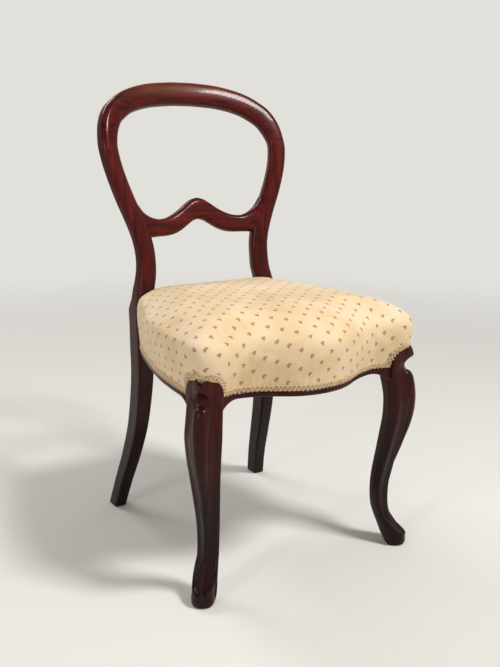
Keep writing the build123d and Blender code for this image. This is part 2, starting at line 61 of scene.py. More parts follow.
RAIL_BOTTOM = 342.0
RAIL_TOP = 410.0
RAIL_THICK = 28.0
BEAD = 10.0                 # height of the bead along the lower edge of the rails
BEAD_DEPTH = 4.2            # half its depth
REBATE = 5.5                # depth of the step that the cover is tacked to
BRACKET_DROP = 44.0         # swept end of a rail at the front leg, down and along
BRACKET_RUN = 46.0
BRACKET_END = 184.5         # inside the leg, so that the bracket runs out into it
RAIL_END = 189.0
FOOT_X = 208.0              # middle of the foot of a front leg, on both axes
LEG_FAR = 222.0             # outer faces of the front leg's block, on both axes
NECK_Z = 356.0              # deepest place of the neck between the ears and the knee
EAR_X, EAR_Z = 211.5, 378.0  # middle of a scrolled ear, along its face and up
DISH = 0.0008               # the back stands DISH * x * x further forward at x
SHOULDER_Z = 428.0          # of the stile, above its leg
TURNED_Z = 513.0            # from here up the stile is turned square to the dished back
JOINT_Z = 728.0             # of the stile and the crest
COVER_FOOT = 352.0
COVER_INSET = 2.5           # of the cover's foot from the rail's outer face
CROWN_Y = -40.0
CLOTH_THICK = 1.2
REAR_FACE_Y = 161.0         # of the rear rail
REAR_SHARE = 0.35           # of the swell of the seat that is left at the rear
STUFFING_FOOT = 363.0
HESSIAN_TOP = RAIL_TOP + 4.4
BRAID_MIDDLE = 5.2          # above the foot of the cover

# Rear leg below the shoulder: z, x, y, width, depth
REAR_LEG = (
    (0, 171.5, 223.5, 24, 34), (57, 163.5, 206.5, 25, 35), (121, 155.5, 183, 26.5, 37.5),
    (183, 149.8, 163.5, 28, 40), (239, 146.5, 153.5, 30, 41), (293, 144, 148.5, 32, 41),
    (350, 143.2, 147.5, 35.4, 41), (400, 142.8, 147.5, 37.6, 40), (424, 142.2, 147.5, 40.8, 38),
    (432, 141, 148.5, 39.5, 37.5),
)
# Stile above it: z, x, width, depth, radius of the front corners
UPRIGHT = (
    (446, 139, 38, 35, 8), (466, 136, 38, 31, 13), (488, 130.5, 38, 28.5, 15),
    (513, 128, 37, 27, 15), (540, 129, 37, 27, 15), (566, 134.5, 37.5, 27, 15),
    (600, 146.5, 38, 27, 15), (633, 160.5, 37, 27, 15), (665, 172.5, 35.5, 27, 15),
    (697, 182, 34.5, 27, 15), (JOINT_Z, 187, 34.5, 27, 15),
)
# Middle line of the back seen from the side: z, y
RAKE = (
    (446, 163), (466, 162.5), (488, 163.5), (513, 165), (540, 169), (566, 173), (600, 180),
    (633, 186.5), (665, 192.7), (697, 200), (728, 208), (765, 220), (800, 232.5), (840, 247),
    (870, 257),
)
# Crest rail, joint to the middle: x, z, width
CREST = (
    (187, JOINT_Z, 34.5), (185.5, 746, 36), (180, 767, 39), (170.5, 785, 41), (157, 798, 42.5),
    (127, 815.5, 43.5), (81, 828, 44.5), (30, 833, 45), (0, 833.6, 45),
)
BACK_THICK = 27.0
# Mid rail, middle to its flare inside the stile: x, z, height
MID_RAIL = (
    (0, 611.8, 42.5), (13, 608.5, 42.5), (27, 600.5, 42.5), (42, 591, 41), (58, 583.7, 38.5),
    (74, 579.6, 35), (91, 578.6, 33.5), (102, 579.5, 36), (110, 580.8, 39.5), (118, 582.8, 44.5),
    (125, 585.3, 50.5), (131, 588.5, 57), (137, 592.8, 65.5), (143, 598, 72),
)
MID_RAIL_THICK = 24.0

# Front leg: z, middle s, half width, nose ahead of middle, nose half width, heel behind middle,
# with s measured outwards along the diagonal from the middle of the foot
LEG = (
    (356.5, -12, 31.8, 19.4, 12, 31.8), (348, -12, 31.8, 18.6, 12, 31.8),
    (340, -11.4, 31.9, 19, 11.6, 31.9), (328, -9.5, 32.2, 20.5, 11, 32), (308, -5.5, 33, 20.6, 12.5, 31),
    (286, -2.3, 33.5, 18.5, 15, 31), (253, -4.5, 31.5, 17.5, 13, 29), (219, -11, 28.6, 17, 9.5, 27),
    (184, -18.5, 26, 17, 6, 24.5), (150, -26, 23.6, 18, 3, 22), (121, -30.5, 22, 17, 2.5, 20),
    (95, -31, 21.2, 16.5, 2.5, 19.3), (74, -28.5, 21, 15.5, 3, 19), (55, -23, 21.2, 15, 4.5, 18.3),
    (40, -16.5, 21.8, 15, 6.5, 18.5), (25, -10, 22.8, 17, 8.5, 19), (12, -5, 22.5, 17, 9, 18),
    (0, -3, 19.5, 12, 8, 13),
)
# Raised lobe down the knee: z, front of the lobe in s, radius
LOBE = (
    (344, 9.5, 4), (342.5, 13, 8), (339, 17.2, 11.3), (333, 20.6, 12.9), (324, 23.2, 13.5),
    (311, 25.6, 13.8), (290, 27.4, 13.6),
    (265, 25.8, 12.5), (240, 20.6, 10.8), (213, 11.9, 8.5), (182, 1.6, 5.8), (152, -9.5, 3.4),
)

# Toe: z, middle s, radius
TOE = (
    (1, 3, 17.8), (4, 3, 19.2), (9, 3, 19.6), (14, 3, 19.4), (19, 2.4, 19), (24, -0.4, 18.7),
    (31, -5, 18.6), (42, -13, 18.2), (54, -21, 17), (66, -28, 15),
)
# Half of its rim, from the ankle to the front: s, t, z
TOE_RIM = (
    (-26, 16.5, 70), (-20, 17.6, 60), (-13, 18.4, 49), (-4.5, 18, 38), (6.5, 15.6, 29.5),
    (15.5, 11, 23.5), (19.6, 5.5, 20.8), (20.6, 0, 20),
)

# Outer face of the front rail, middle to leg: x, y
FRONT_FACE = (
    (0, -254), (35, -249.5), (62, -238.5), (85, -225), (110, -213), (138, -205.5), (160, -208.5),
    (184, -217),
)
# Outer face of the side rail, front leg to rear leg: y, x
SIDE_FACE = (
    (-184, 217), (-140, 214), (-97, 210.5), (-58, 205.5), (-20, 198), (22, 187.5), (75, 173),
    (132, 156.5),
)
# Swell of the seat: z, how far it stands out from its foot, or in once it is negative
SWELL = (
    (COVER_FOOT, 0), (366, 2.8), (384, 7.8), (404, 13), (418, 15), (430, 14.6), (441, 10),
    (450.5, -1), (461.5, -18), (471, -42), (477.4, -74), (481, -112), (483, -160),
    (483.5, -190), (483.7, -206),
)


# ---- small tools ----

def hex_colour(code):
    """Linear red, green and blue of an sRGB hex colour."""
    parts = [int(code[i:i + 2], 16) / 255 for i in (1, 3, 5)]
    return tuple(p / 12.92 if p <= 0.04045 else ((p + 0.055) / 1.055) ** 2.4 for p in parts)


def smooth(table, parts):
    """The table's rows with parts - 1 more between each two, on a smooth curve through them all."""
    out = []
    for i in range(len(table) - 1):
        before, a, b = table[max(0, i - 1)], table[i], table[i + 1]
        after = table[min(len(table) - 1, i + 2)]
        for step in range(parts):
            t = step / parts
            out.append(tuple(
                q + t * (r - p) / 2 + t * t * (2 * p - 5 * q + 4 * r - s) / 2
                + t ** 3 * (3 * q - p - 3 * r + s) / 2 for p, q, r, s in zip(before, a, b, after)))
    return out + [tuple(table[-1])]


def between(table, place):
    """Value of a (place, value) table at place, straight between its rows."""
    for (z0, v0), (z1, v1) in zip(table, table[1:]):
        if place <= z1:
            break
    return v0 + (v1 - v0) * (place - z0) / (z1 - z0)


def ease(t):
    """0 below 0, 1 above 1, with no kink between."""
    t = min(1.0, max(0.0, t))
    return t * t * (3 - 2 * t)


SMOOTH_RAKE = smooth(RAKE, 6)
FRONT_LINE = smooth([(-x, y) for x, y in reversed(FRONT_FACE[1:])] + list(FRONT_FACE), 8)
SIDE_LINE = smooth(SIDE_FACE, 8)


def back_y(x, z):
    """Middle surface of the back: raked with height, dished forward to the sides."""
    return between(SMOOTH_RAKE, z) - DISH * x * x


def rounded(corners, radii, steps):
    """Closed outline on the corners, each rounded with its own radius as far as its sides allow."""
    out = []
    for i, radius in enumerate(radii):
        p = Vector(corners[i])
        to_a = Vector(corners[i - 1]) - p
        to_b = Vector(corners[(i + 1) % len(corners)]) - p
        angle = to_a.angle(to_b)
        reach = min(radius / math.tan(angle / 2), to_a.length * 0.48, to_b.length * 0.48)
        start, end = p + to_a.normalized() * reach, p + to_b.normalized() * reach
        for k in range(steps + 1):
            t = k / steps
            mid = 2 * math.sin(angle / 2) * t * (1 - t)
            out.append((start * (1 - t) ** 2 + p * mid + end * t * t) / ((1 - t) ** 2 + mid + t * t))
    return out


def spread(points, count):
    """The closed outline with count points set evenly along it."""
    ends = points[1:] + points[:1]
    total = sum((b - a).length for a, b in zip(points, ends))
    out, passed, i = [], 0.0, 0
    for k in range(count):
        place = total * k / count
        while passed + (ends[i] - points[i]).length < place:
            passed += (ends[i] - points[i]).length
            i += 1
        gap = (ends[i] - points[i]).length
        out.append(points[i].lerp(ends[i], (place - passed) / gap if gap else 0))
    return out


def around(count):
    """Angles set evenly round a circle."""
    return [math.tau * i / count for i in range(count)]


def heading(points, i):
    """Way along the open polyline at its point i."""
    return points[min(i + 1, len(points) - 1)] - points[max(i - 1, 0)]


def add_ring(bm, points):
    """Edges of a closed ring through the points."""
    verts = [bm.verts.new(p) for p in points]
    return [bm.edges.new((verts[i - 1], verts[i])) for i in range(len(verts))]


def loft(bm, rings, first=True, last=True):
    """Skin over rings of points, closed at its first and last ring where asked."""
    loops = [add_ring(bm, points) for points in rings]
    for low, high in zip(loops, loops[1:]):
        bmesh.ops.bridge_loops(bm, edges=low + high)
    for loop, wanted in ((loops[0], first), (loops[-1], last)):
        if wanted:
            bmesh.ops.contextual_create(bm, geom=loop)
            for edge in loop:
                edge.smooth = False


def placed(name, data):
    """New object of the data, linked to the scene."""
    obj = bpy.data.objects.new(name, data)
    bpy.context.scene.collection.objects.link(obj)
    return obj


def piece(bm, name, material, nodes):
    """Object in metres made of bm, on the chair's one body, in place of the CAD nodes."""
    bmesh.ops.transform(bm, matrix=TO_FRAME, verts=bm.verts)
    bmesh.ops.recalc_face_normals(bm, faces=bm.faces)
    mesh = bpy.data.meshes.new(name)
    for face in bm.faces:
        face.smooth = True
    bm.to_mesh(mesh)
    bm.free()
    obj = placed(name, mesh)
    obj.data.materials.append(material)
    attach(obj, "root")
    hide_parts(*nodes)
    return obj


def mirrored(bm):
    """Turns a right piece into its left one."""
    bmesh.ops.transform(bm, matrix=Matrix.Scale(-1, 4, (1, 0, 0)), verts=bm.verts)
    bmesh.ops.reverse_faces(bm, faces=bm.faces)


def pair(make, name, material, node):
    """Right and left piece from one drawing; {} in the names stands for the side."""
    made = []
    for side in ("right", "left"):
        bm = make()
        if side == "left":
            mirrored(bm)
        made.append(piece(bm, name.format(side), material, [node.format(side)]))
    return made


def cad_mesh(node):
    """Merged copy of the mesh of a CAD node, in metres."""
    bm = bmesh.new()
    bm.from_mesh(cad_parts[node].data)
    bmesh.ops.remove_doubles(bm, verts=bm.verts, dist=1e-5)
    return bm


def doubled(bm):
    """Joins a right half to its mirror image at x = 0."""
    bmesh.ops.mirror(bm, geom=bm.verts[:] + bm.edges[:] + bm.faces[:], matrix=Matrix.Identity(4),
                     merge_dist=0.02, axis="X")


def evaluated_mesh(obj):
    """New mesh of obj as it stands with its modifiers."""
    bpy.context.view_layer.update()
    return bpy.data.meshes.new_from_object(
        obj.evaluated_get(bpy.context.evaluated_depsgraph_get()))


def apply_modifiers(obj):
    """Mesh of obj with its modifiers applied, put in the place of the old one."""
    done = evaluated_mesh(obj)
    obj.modifiers.clear()
    old, obj.data = obj.data, done
    bpy.data.meshes.remove(old)


def modify(obj, kind, **settings):
    """Applies a modifier of that kind with its settings."""
    modifier = obj.modifiers.new(kind.lower(), kind)
    for key, value in settings.items():
        setattr(modifier, key, value)
    apply_modifiers(obj)


def fuse(obj, voxel, passes):
    """Overlapping shells of obj made one skin on a grid of voxel metres, then eased by passes."""
    modify(obj, "REMESH", mode="VOXEL", voxel_size=voxel)
    modify(obj, "SMOOTH", factor=0.5, iterations=passes)
    obj.data.shade_smooth()


# ---- materials ----

def new_material(name, surface, *values):
    """Node material with the surface that the function draws into its tree from the values."""
    material = bpy.data.materials.new(name)
    material.use_nodes = True
    tree = material.node_tree
    tree.nodes.clear()
    add(tree, "OutputMaterial", links={"Surface": surface(tree, *values)})
    return material


def add(tree, kind, settings=None, values=None, links=None):
    """Adds a node with its settings, its sockets' values and what is linked to its sockets.

    A link is an output or, for a node's first output, the node itself. The setting "stops" holds
    the places and colours of a colour ramp.
    """
    node = tree.nodes.new("ShaderNode" + kind)
    for key, value in (settings or {}).items():
        if key != "stops":
            setattr(node, key, value)
            continue
        points = node.color_ramp.elements
        while len(points) < len(value):
            points.new(0.5)
        for point, (place, colour) in zip(points, value):
            point.position, point.color = place, (*colour, 1)
    for key, value in (values or {}).items():
        node.inputs[key].default_value = value
    for key, source in (links or {}).items():
        tree.links.new(getattr(source, "outputs", [source])[0], node.inputs[key])
    return node


def mahogany(tree, along, settings):
    """French-polished mahogany: deep red-brown, fine long grain under a clear glossy film.

    The film is built up in thin coats, so it is smooth and shines. It has worn amber on the top of
    the crest, where hands take hold of the chair, and it is darker towards the feet.
    """
    place = add(tree, "TexCoord").outputs["Object"]
    # Per metre, across and along the grain: pores about 0.6 mm wide and 25 mm long, and ribbon
    # figure about 9 mm wide and 150 mm long.
    grain = [[long if axis == along else wide for axis in range(3)]
             for wide, long in ((1600, 40), (110, 6.5))]
    pores, ribbon = (add(tree, "Mapping", values={"Scale": scale}, links={"Vector": place})
                     for scale in grain)
    pores = add(tree, "TexNoise", values={"Scale": 1.0, "Detail": 2.0, "Roughness": 0.6},
                links={"Vector": pores})
    ribbon = add(tree, "TexNoise", values={"Scale": 1.0, "Detail": 5.0, "Roughness": 0.62,
                                           "Distortion": 0.5}, links={"Vector": ribbon})
    cloud = add(tree, "TexNoise", values={"Scale": 9.0, "Detail": 3.0}, links={"Vector": place})
    dark, red = tuple(settings.dark), tuple(settings.red)
    middle = tuple((a + b) / 2 for a, b in zip(dark, red))
    wood = add(tree, "ValToRGB", {"stops": ((0.3, dark), (0.52, middle), (0.72, red))},
               links={"Fac": ribbon})
    pore_mask = add(tree, "MapRange", links={"Value": pores},
                    values={"From Min": 0.56, "From Max": 0.7, "To Max": 0.75})
    height = add(tree, "SeparateXYZ", links={"Vector": place}).outputs["Z"]
    # Worn from about 835 mm up, broken by the cloud noise.
    top = add(tree, "MapRange", links={"Value": height},
              values={"From Min": 0.822, "From Max": 0.862})
    worn = add(tree, "Math", {"operation": "MULTIPLY"}, links={0: top, 1: cloud})
    # Darker towards the feet: mixed ever more towards near-black from 600 mm down to 150 mm.
    low_darkening = add(tree, "MapRange", links={"Value": height},
               values={"From Min": 0.15, "From Max": 0.6, "To Min": 0.9, "To Max": 0.0})
    for tint, mask in (("#120504", pore_mask), ("#8a4a22", worn), ("#140605", low_darkening)):
        wood = add(tree, "Mix", {"data_type": "RGBA"}, {7: (*hex_colour(tint), 1)},
                   {0: mask, 6: wood}).outputs[2]
    rough = add(tree, "MapRange", links={"Value": cloud},
                values={"From Min": 0.3, "From Max": 0.75, "To Min": 0.26, "To Max": 0.42})
    bump = add(tree, "Bump", values={"Strength": 0.05, "Distance": 0.0002}, links={"Height": pores})
    return add(tree, "BsdfPrincipled",
               values={"IOR": 1.52, "Specular IOR Level": 0.1, "Coat Weight": 0.15,
                       "Coat Roughness": 0.09, "Coat IOR": 1.5},
               links={"Base Color": wood, "Roughness": rough, "Normal": bump})


def sprigs(tree, flat, across, down):
    """Mask of small sprigs in a half-drop lattice on the flat cloth, every other one turned over."""
    # Each leaf: middle across and up, half length, half width in mm, and its turn in degrees.
    leaves = ((-1.9, 1.5, 2.5, 1.2, 125), (1.9, 1.7, 2.6, 1.2, 50), (0.2, 3.6, 1.6, 1.3, 90),
              (0.3, -1.5, 2.5, 0.65, 78), (1.7, -1.3, 1.5, 0.8, 20))
    marks = None
    for drop, turned in ((0.0, 1), (0.5, -1)):
        start = add(tree, "Mapping", links={"Vector": flat},
                    values={"Scale": (1 / across, 1 / down, 0), "Location": (drop, drop, 0)})
        cell = add(tree, "VectorMath", {"operation": "FRACTION"}, links={0: start})
        local = add(tree, "Mapping", links={"Vector": cell},
                    values={"Location": (-0.5 * across / MM * turned, -0.5 * down / MM, 0),
                            "Scale": (across / MM * turned, down / MM, 0)})
        for x, y, length, width, turn in leaves:
            leaf = add(tree, "Mapping", {"vector_type": "TEXTURE"},
                       {"Location": (x, y, 0), "Rotation": (0, 0, math.radians(turn)),
                        "Scale": (length, width, 1)}, {"Vector": local})
            size = add(tree, "VectorMath", {"operation": "LENGTH"}, links={0: leaf})
            mask = add(tree, "MapRange", links={"Value": size.outputs["Value"]},
                       values={"From Min": 1.12, "From Max": 0.82})
            marks = mask if marks is None else add(tree, "Math", {"operation": "MAXIMUM"},
                                                   links={0: marks, 1: mask})
    return marks


def printed_cotton(tree, settings):
    """Glazed furnishing cotton: cream ground, closely woven, with small red-brown sprigs.

    Its threads are too fine to show, so they are drawn 2.2 mm apart.
    """
    flat = add(tree, "UVMap", {"uv_map": "cloth"})
    marks = sprigs(tree, flat, settings.repeat_across, settings.repeat_down)
    wander = add(tree, "TexNoise", values={"Scale": 900.0, "Detail": 1.0}, links={"Vector": flat})
    ink = add(tree, "MapRange", links={"Value": wander},
              values={"From Min": 0.25, "From Max": 0.6, "To Min": 0.62, "To Max": 0.95})
    inked = add(tree, "Math", {"operation": "MULTIPLY", "use_clamp": True},
                links={0: marks, 1: ink})
    # Soiling and fading in broad patches of about 80 mm.
    patches = add(tree, "TexNoise", values={"Scale": 12.0, "Detail": 4.0, "Roughness": 0.55},
                  links={"Vector": flat})
    ground = add(tree, "ValToRGB", links={"Fac": patches}, settings={
        "stops": ((0.3, hex_colour("#e2c291")), (0.52, settings.ground), (0.8, hex_colour("#f4e1c0")))})
    weft, warp = (add(tree, "TexWave", {"bands_direction": way},
                      {"Scale": WAVE_LENGTH / (2.17 * MM), "Distortion": 0.6, "Detail": 1.0,
                       "Detail Scale": 2.0}, {"Vector": flat}).outputs["Fac"] for way in "YX")
    weave = add(tree, "Math", {"operation": "MULTIPLY"}, links={0: weft, 1: warp})
    shaded = add(tree, "MapRange", links={"Value": weave}, values={"To Min": 0.1, "To Max": 0.0})
    for tint, mask in ((hex_colour("#a98a58"), shaded), (settings.sprig, inked)):
        ground = add(tree, "Mix", {"data_type": "RGBA"}, {7: (*tint, 1)},
                     {0: mask, 6: ground}).outputs[2]
    bump = add(tree, "Bump", values={"Strength": 0.25, "Distance": 0.0002}, links={"Height": weave})
    return add(tree, "BsdfPrincipled",
               values={"Roughness": 0.72, "Sheen Weight": 0.25, "Sheen Roughness": 0.4, "IOR": 1.45},
               links={"Base Color": ground, "Normal": bump})


def yarn(tree, dark, light, scale, roughness):
    """Twisted or woven yarn: a matt fibre whose colour shifts from thread to thread between its dark and
    light tone, which for the braid are a shaded and a lit tone of one yarn: painted shade and painted
    light.
    """
    place = add(tree, "TexCoord").outputs["Object"]
    noise = add(tree, "TexNoise", values={"Scale": scale, "Detail": 3.0, "Roughness": 0.6},
                links={"Vector": place})
    tone = add(tree, "ValToRGB", {"stops": ((0.32, dark), (0.68, light))}, links={"Fac": noise})
    bump = add(tree, "Bump", values={"Strength": 0.5, "Distance": 0.0004}, links={"Height": noise})
    return add(tree, "BsdfPrincipled", values={"Roughness": roughness, "Sheen Weight": 0.2},
               links={"Base Color": tone, "Normal": bump})


def jute(tree, dark, light, pitch, across=None):
    """Coarse plain weave of jute yarn, its threads pitch metres apart, dull and hairy.

    Webs, across which axis number across runs, also have a dark stripe along each edge.
    """
    place = add(tree, "TexCoord").outputs["Object"]
    warp, weft = (add(tree, "TexWave", {"bands_direction": way},
                      {"Scale": WAVE_LENGTH / pitch, "Distortion": 1.2, "Detail": 2.0},
                      {"Vector": place}).outputs["Fac"] for way in "XY")
    height = add(tree, "Math", {"operation": "MULTIPLY"}, links={0: warp, 1: weft})
    noise = add(tree, "TexNoise", values={"Scale": 60.0, "Detail": 3.0}, links={"Vector": place})
    both = add(tree, "Math", {"operation": "MULTIPLY_ADD"}, {1: 0.6}, {0: height, 2: noise})
    # The tone follows the weave's height as well as the noise, so the hollows between the threads are
    # painted shade.
    tone = add(tree, "ValToRGB", {"stops": ((0.35, dark), (0.9, light))}, links={"Fac": both})
    if across is not None:
        # The webs are 50 mm wide, and the stripe is 4 mm.
        run = add(tree, "SeparateXYZ", links={"Vector": place}).outputs[across]
        away = add(tree, "Math", {"operation": "PINGPONG"}, {1: 0.025}, {0: run})
        edge = add(tree, "MapRange", links={"Value": away},
                   values={"From Max": 0.004, "To Min": 0.8, "To Max": 0.0})
        tone = add(tree, "Mix", {"data_type": "RGBA"}, {7: (*dark, 1)},
                   {0: edge, 6: tone}).outputs[2]
    bump = add(tree, "Bump", values={"Strength": 0.6, "Distance": 0.0005}, links={"Height": height})
    return add(tree, "BsdfPrincipled", values={"Roughness": 0.9},
               links={"Base Color": tone, "Normal": bump})


def sawn_beech(tree):
    """Unpolished beech, sawn and left bare under the seat: pale, dull and flecked."""
    place = add(tree, "TexCoord").outputs["Object"]
    # Per metre: flecks about 17 mm long and 2 mm wide.
    drawn = add(tree, "Mapping", values={"Scale": (60, 600, 600)}, links={"Vector": place})
    fleck = add(tree, "TexNoise", values={"Scale": 1.0, "Detail": 4.0, "Roughness": 0.65},
                links={"Vector": drawn})
    tone = add(tree, "ValToRGB", links={"Fac": fleck}, settings={
        "stops": ((0.3, hex_colour("#6d4a2c")), (0.7, hex_colour("#a37a4e")))})
    bump = add(tree, "Bump", values={"Strength": 0.35, "Distance": 0.0003}, links={"Height": fleck})
    return add(tree, "BsdfPrincipled", values={"Roughness": 0.75},
               links={"Base Color": tone, "Normal": bump})


def turned_steel(tree):
    """Plain steel screws, turned and dulled by spots of rust about 4 mm wide."""
    place = add(tree, "TexCoord").outputs["Object"]
    spots = add(tree, "TexNoise", values={"Scale": 260.0, "Detail": 3.0}, links={"Vector": place})
    tone = add(tree, "ValToRGB", links={"Fac": spots}, settings={
        "stops": ((0.4, hex_colour("#8d8983")), (0.75, hex_colour("#5e4a3a")))})
    return add(tree, "BsdfPrincipled", values={"Metallic": 1.0, "Roughness": 0.42},
               links={"Base Color": tone})


def pale_paper(tree):
    """Matt background paper that away from the chair shows one pale tone, whatever light is on it."""
    shader = add(tree, "BsdfPrincipled",
                 values={"Base Color": (*hex_colour("#e6e3dc"), 1), "Roughness": 0.9})
    place = add(tree, "TexCoord").outputs["Object"]
    away = add(tree, "VectorMath", {"operation": "LENGTH"}, links={0: place}).outputs["Value"]
    far = add(tree, "MapRange", {"interpolation_type": "SMOOTHSTEP"},
              {"From Min": 0.9, "From Max": 3.2}, {"Value": away})
    rays = add(tree, "LightPath").outputs
    seen = add(tree, "Math", {"operation": "MAXIMUM"},
               links={0: rays["Is Camera Ray"], 1: rays["Is Glossy Ray"]})
    seen = add(tree, "Math", {"operation": "MAXIMUM"},
               links={0: seen, 1: rays["Is Transmission Ray"]})
    share = add(tree, "Math", {"operation": "MULTIPLY"}, links={0: far, 1: seen})
    glow = add(tree, "Emission", values={"Color": (*hex_colour("#e2e0da"), 1)})
    return add(tree, "MixShader", links={0: share, 1: shader, 2: glow})


# ---- back ----

def bar(w, d, front, rear, count, crown=0.0):
    """Section of a back member, its front at -Y crowned by as many mm as asked."""
    a, b = w / 2, d / 2
    corners = ((a, crown - b), (a, b), (-a, b), (-a, crown - b), (0, -b))
    return spread(rounded(corners, (front, rear, rear, front, 90), 8), count)


def stile_rings(inset=0.0):
    """Leg and stile in one, from the worn foot to the joint with the crest."""
    rows = [(z, x, y, w, d, 4, 3.5, 0) for z, x, y, w, d in REAR_LEG]
    rows += [(z, x, back_y(x, z), w, d, r, 6, min(1, (z - SHOULDER_Z) / (TURNED_Z - SHOULDER_Z)))
             for z, x, w, d, r in UPRIGHT]
    x, z, w = CREST[1]
    rows.append((z, x, back_y(x, z), w, BACK_THICK, 15, 6, 1))
    rings = []
    for z, x, y, w, d, front, rear, share in smooth(rows, 8)[:-8]:
        turn = Matrix.Rotation(-math.atan(2 * DISH * x) * share, 2)
        w, d = w - 2 * inset, d - 2 * inset
        section = [turn @ p for p in bar(w, d, front, rear, 64, 3 * (front - 4) / 11)]
        rings.append([Vector((x + p.x, y + p.y, z)) for p in section])
    foot = rings[0]
    middle = sum(foot, Vector()) / len(foot)
    worn = [middle + (p - middle) * 0.88 for p in foot]
    return [worn] + [[p + Vector((0, 0, 1.5)) for p in foot]] + rings[1:]


def stile_mesh():
    """The right stile with its leg."""
    bm = bmesh.new()
    loft(bm, stile_rings())
    return bm


def crest_rings():
    """Crest rail from its right joint to the middle, square to its own bent line."""
    z, x, w = UPRIGHT[-2][:3]
    half = [(x, z, w)] + list(CREST)
    rows = smooth(half + [(-x, z, w) for x, z, w in reversed(half[:-1])], 8)
    rings = []
    for i in range(8, len(rows) // 2 + 1):
        x, z, w = rows[i]
        before, after = rows[i - 1], rows[i + 1]
        share = ease((z - JOINT_Z) / 45)
        lean = (back_y(x, z + 0.5) - back_y(x, z - 0.5)) * share
        rear = Vector((2 * DISH * x, 1, -lean)).normalized()
        run = Vector((after[0] - before[0], 0, after[1] - before[1])).normalized()
        along = Vector((0, 0, 1)).lerp(run, share)
        along = (along - rear * along.dot(rear)).normalized()
        side = rear.cross(along)
        middle = Vector((x, back_y(x, z), z))
        rings.append([middle + side * p.x + rear * p.y for p in bar(w, BACK_THICK, 15, 6, 64, 3)])
    return rings


def crest_mesh():
    """The whole crest rail."""
    bm = bmesh.new()
    loft(bm, crest_rings(), last=False)
    doubled(bm)
    return bm


def mid_rail_rings():
    """Mid rail from its middle to its end, hidden in the stile."""
    rings = []
    for x, z, h in smooth(MID_RAIL, 8):
        lean = (back_y(x, z + 5) - back_y(x, z - 5)) / 10
        rear = Vector((0, 1, -lean)).normalized()
        up = Vector((0, lean, 1)).normalized()
        middle = Vector((x, back_y(x, z), z))
        rings.append([middle + up * p.x + rear * p.y for p in bar(h, MID_RAIL_THICK, 12, 6, 56, 2)])
    return rings


def mid_rail_mesh():
    """The whole mid rail, with a core of the stiles just under their skin, so that fusing draws a
    soft fillet onto them."""
    bm = bmesh.new()
    loft(bm, mid_rail_rings(), first=False)
    loft(bm, [ring for ring in stile_rings(0.8) if 535 < ring[0].z < 690])
    doubled(bm)
    return bm


# ---- front legs ----

def diagonal(s, t, z):
    """Point of the right front leg: s outwards along the diagonal from the foot, t across it."""
    c = math.sqrt(0.5)
    return Vector((FOOT_X + c * (s + t), -FOOT_X - c * (s - t), z))


def leg_rings():
    """Shaft of the leg: an arris in front with a hollow on each side of it, full behind."""
    rings = []
    for z, mid, half, nose, nose_half, heel in smooth(LEG, 8):
        hollow = 1.9 * ease((z - 30) / 90) * (1 - 0.5 * ease((z - 250) / 90))
        front, side, back = Vector((mid + nose, nose_half)), Vector((mid, half)), Vector((mid - heel, 0))
        out = (side - front).orthogonal().normalized()
        dip = front.lerp(side, 0.45) - Vector((abs(out.x), abs(out.y))) * hollow
        full = side.lerp(back, 0.5) + Vector((-0.6, 0.8)) * 2.2
        half_ring = [front, dip, side, full]
        corners = [(p.x, p.y) for p in half_ring] + [(back.x, 0)]
        corners += [(p.x, -p.y) for p in reversed(half_ring)]
        radii = [1.2, 20, 4.5, 16, 7, 16, 4.5, 20, 1.2]
        rings.append([diagonal(p.x, p.y, z) for p in spread(rounded(corners, radii, 6), 96)])
    return rings


def circle(middle, radius, z):
    """Level circle round a point of the diagonal."""
    return [diagonal(middle + radius * math.cos(t), radius * math.sin(t), z) for t in around(40)]


def lobe_rings():
    """Raised lobe that runs down the knee."""
    return [circle(front - r, r, z) for z, front, r in smooth(LOBE, 8)]


def toe_rings():
    """Toe, sloping back and up into the ankle."""
    return [circle(middle, r, z) for z, middle, r in smooth(TOE, 3)]


def rim_rings():
    """Round rim of the scooped toe, a U that climbs the sides of the ankle."""
    path = TOE_RIM + tuple((s, -t, z) for s, t, z in reversed(TOE_RIM[:-1]))
    points = [diagonal(*p) for p in smooth(path, 5)]
    radius = 2.3
    rings = []
    for i, p in enumerate(points):
        along = heading(points, i)
        side = Vector((0, 0, 1)).cross(along).normalized() * radius
        up = along.cross(side).normalized() * radius
        rings.append([p + side * math.cos(t) + up * math.sin(t) for t in around(14)])
    return rings


def on_ear(axis, a, b, out):
    """Matrix to a point of one scrolled ear: a along its face, b up and out of the leg's face.
    Axis 0 is the ear at the side, 1 the one in front."""
    place = Vector((EAR_X + a, -LEG_FAR - out, EAR_Z + b))
    if axis == 0:
        place = Vector((-place.y, -place.x, place.z))
    return Matrix.Translation(place)


def add_ear(bm, axis):
    """Drum of one ear, and the coiled ridge round its eye."""
    depth, radius, count = 19, 10.6, 26
    way = Matrix.Rotation(math.pi / 2, 4, "YX"[axis])
    bmesh.ops.create_cone(bm, cap_ends=True, segments=40, radius1=radius, radius2=radius,
                          depth=depth, matrix=on_ear(axis, 0, 0, 0.4 - depth / 2) @ way)
    for i in range(count):
        share = i / (count - 1)
        turn, reach = share * math.tau * 1.6 + 0.6, 8.3 - 6.2 * share
        bmesh.ops.create_icosphere(
            bm, subdivisions=1, radius=1.7 - 0.5 * share,
            matrix=on_ear(axis, reach * math.cos(turn), reach * math.sin(turn), 0.2))
    bmesh.ops.create_uvsphere(bm, u_segments=16, v_segments=10, radius=2.4,
                              matrix=on_ear(axis, 0, 0, -0.4))


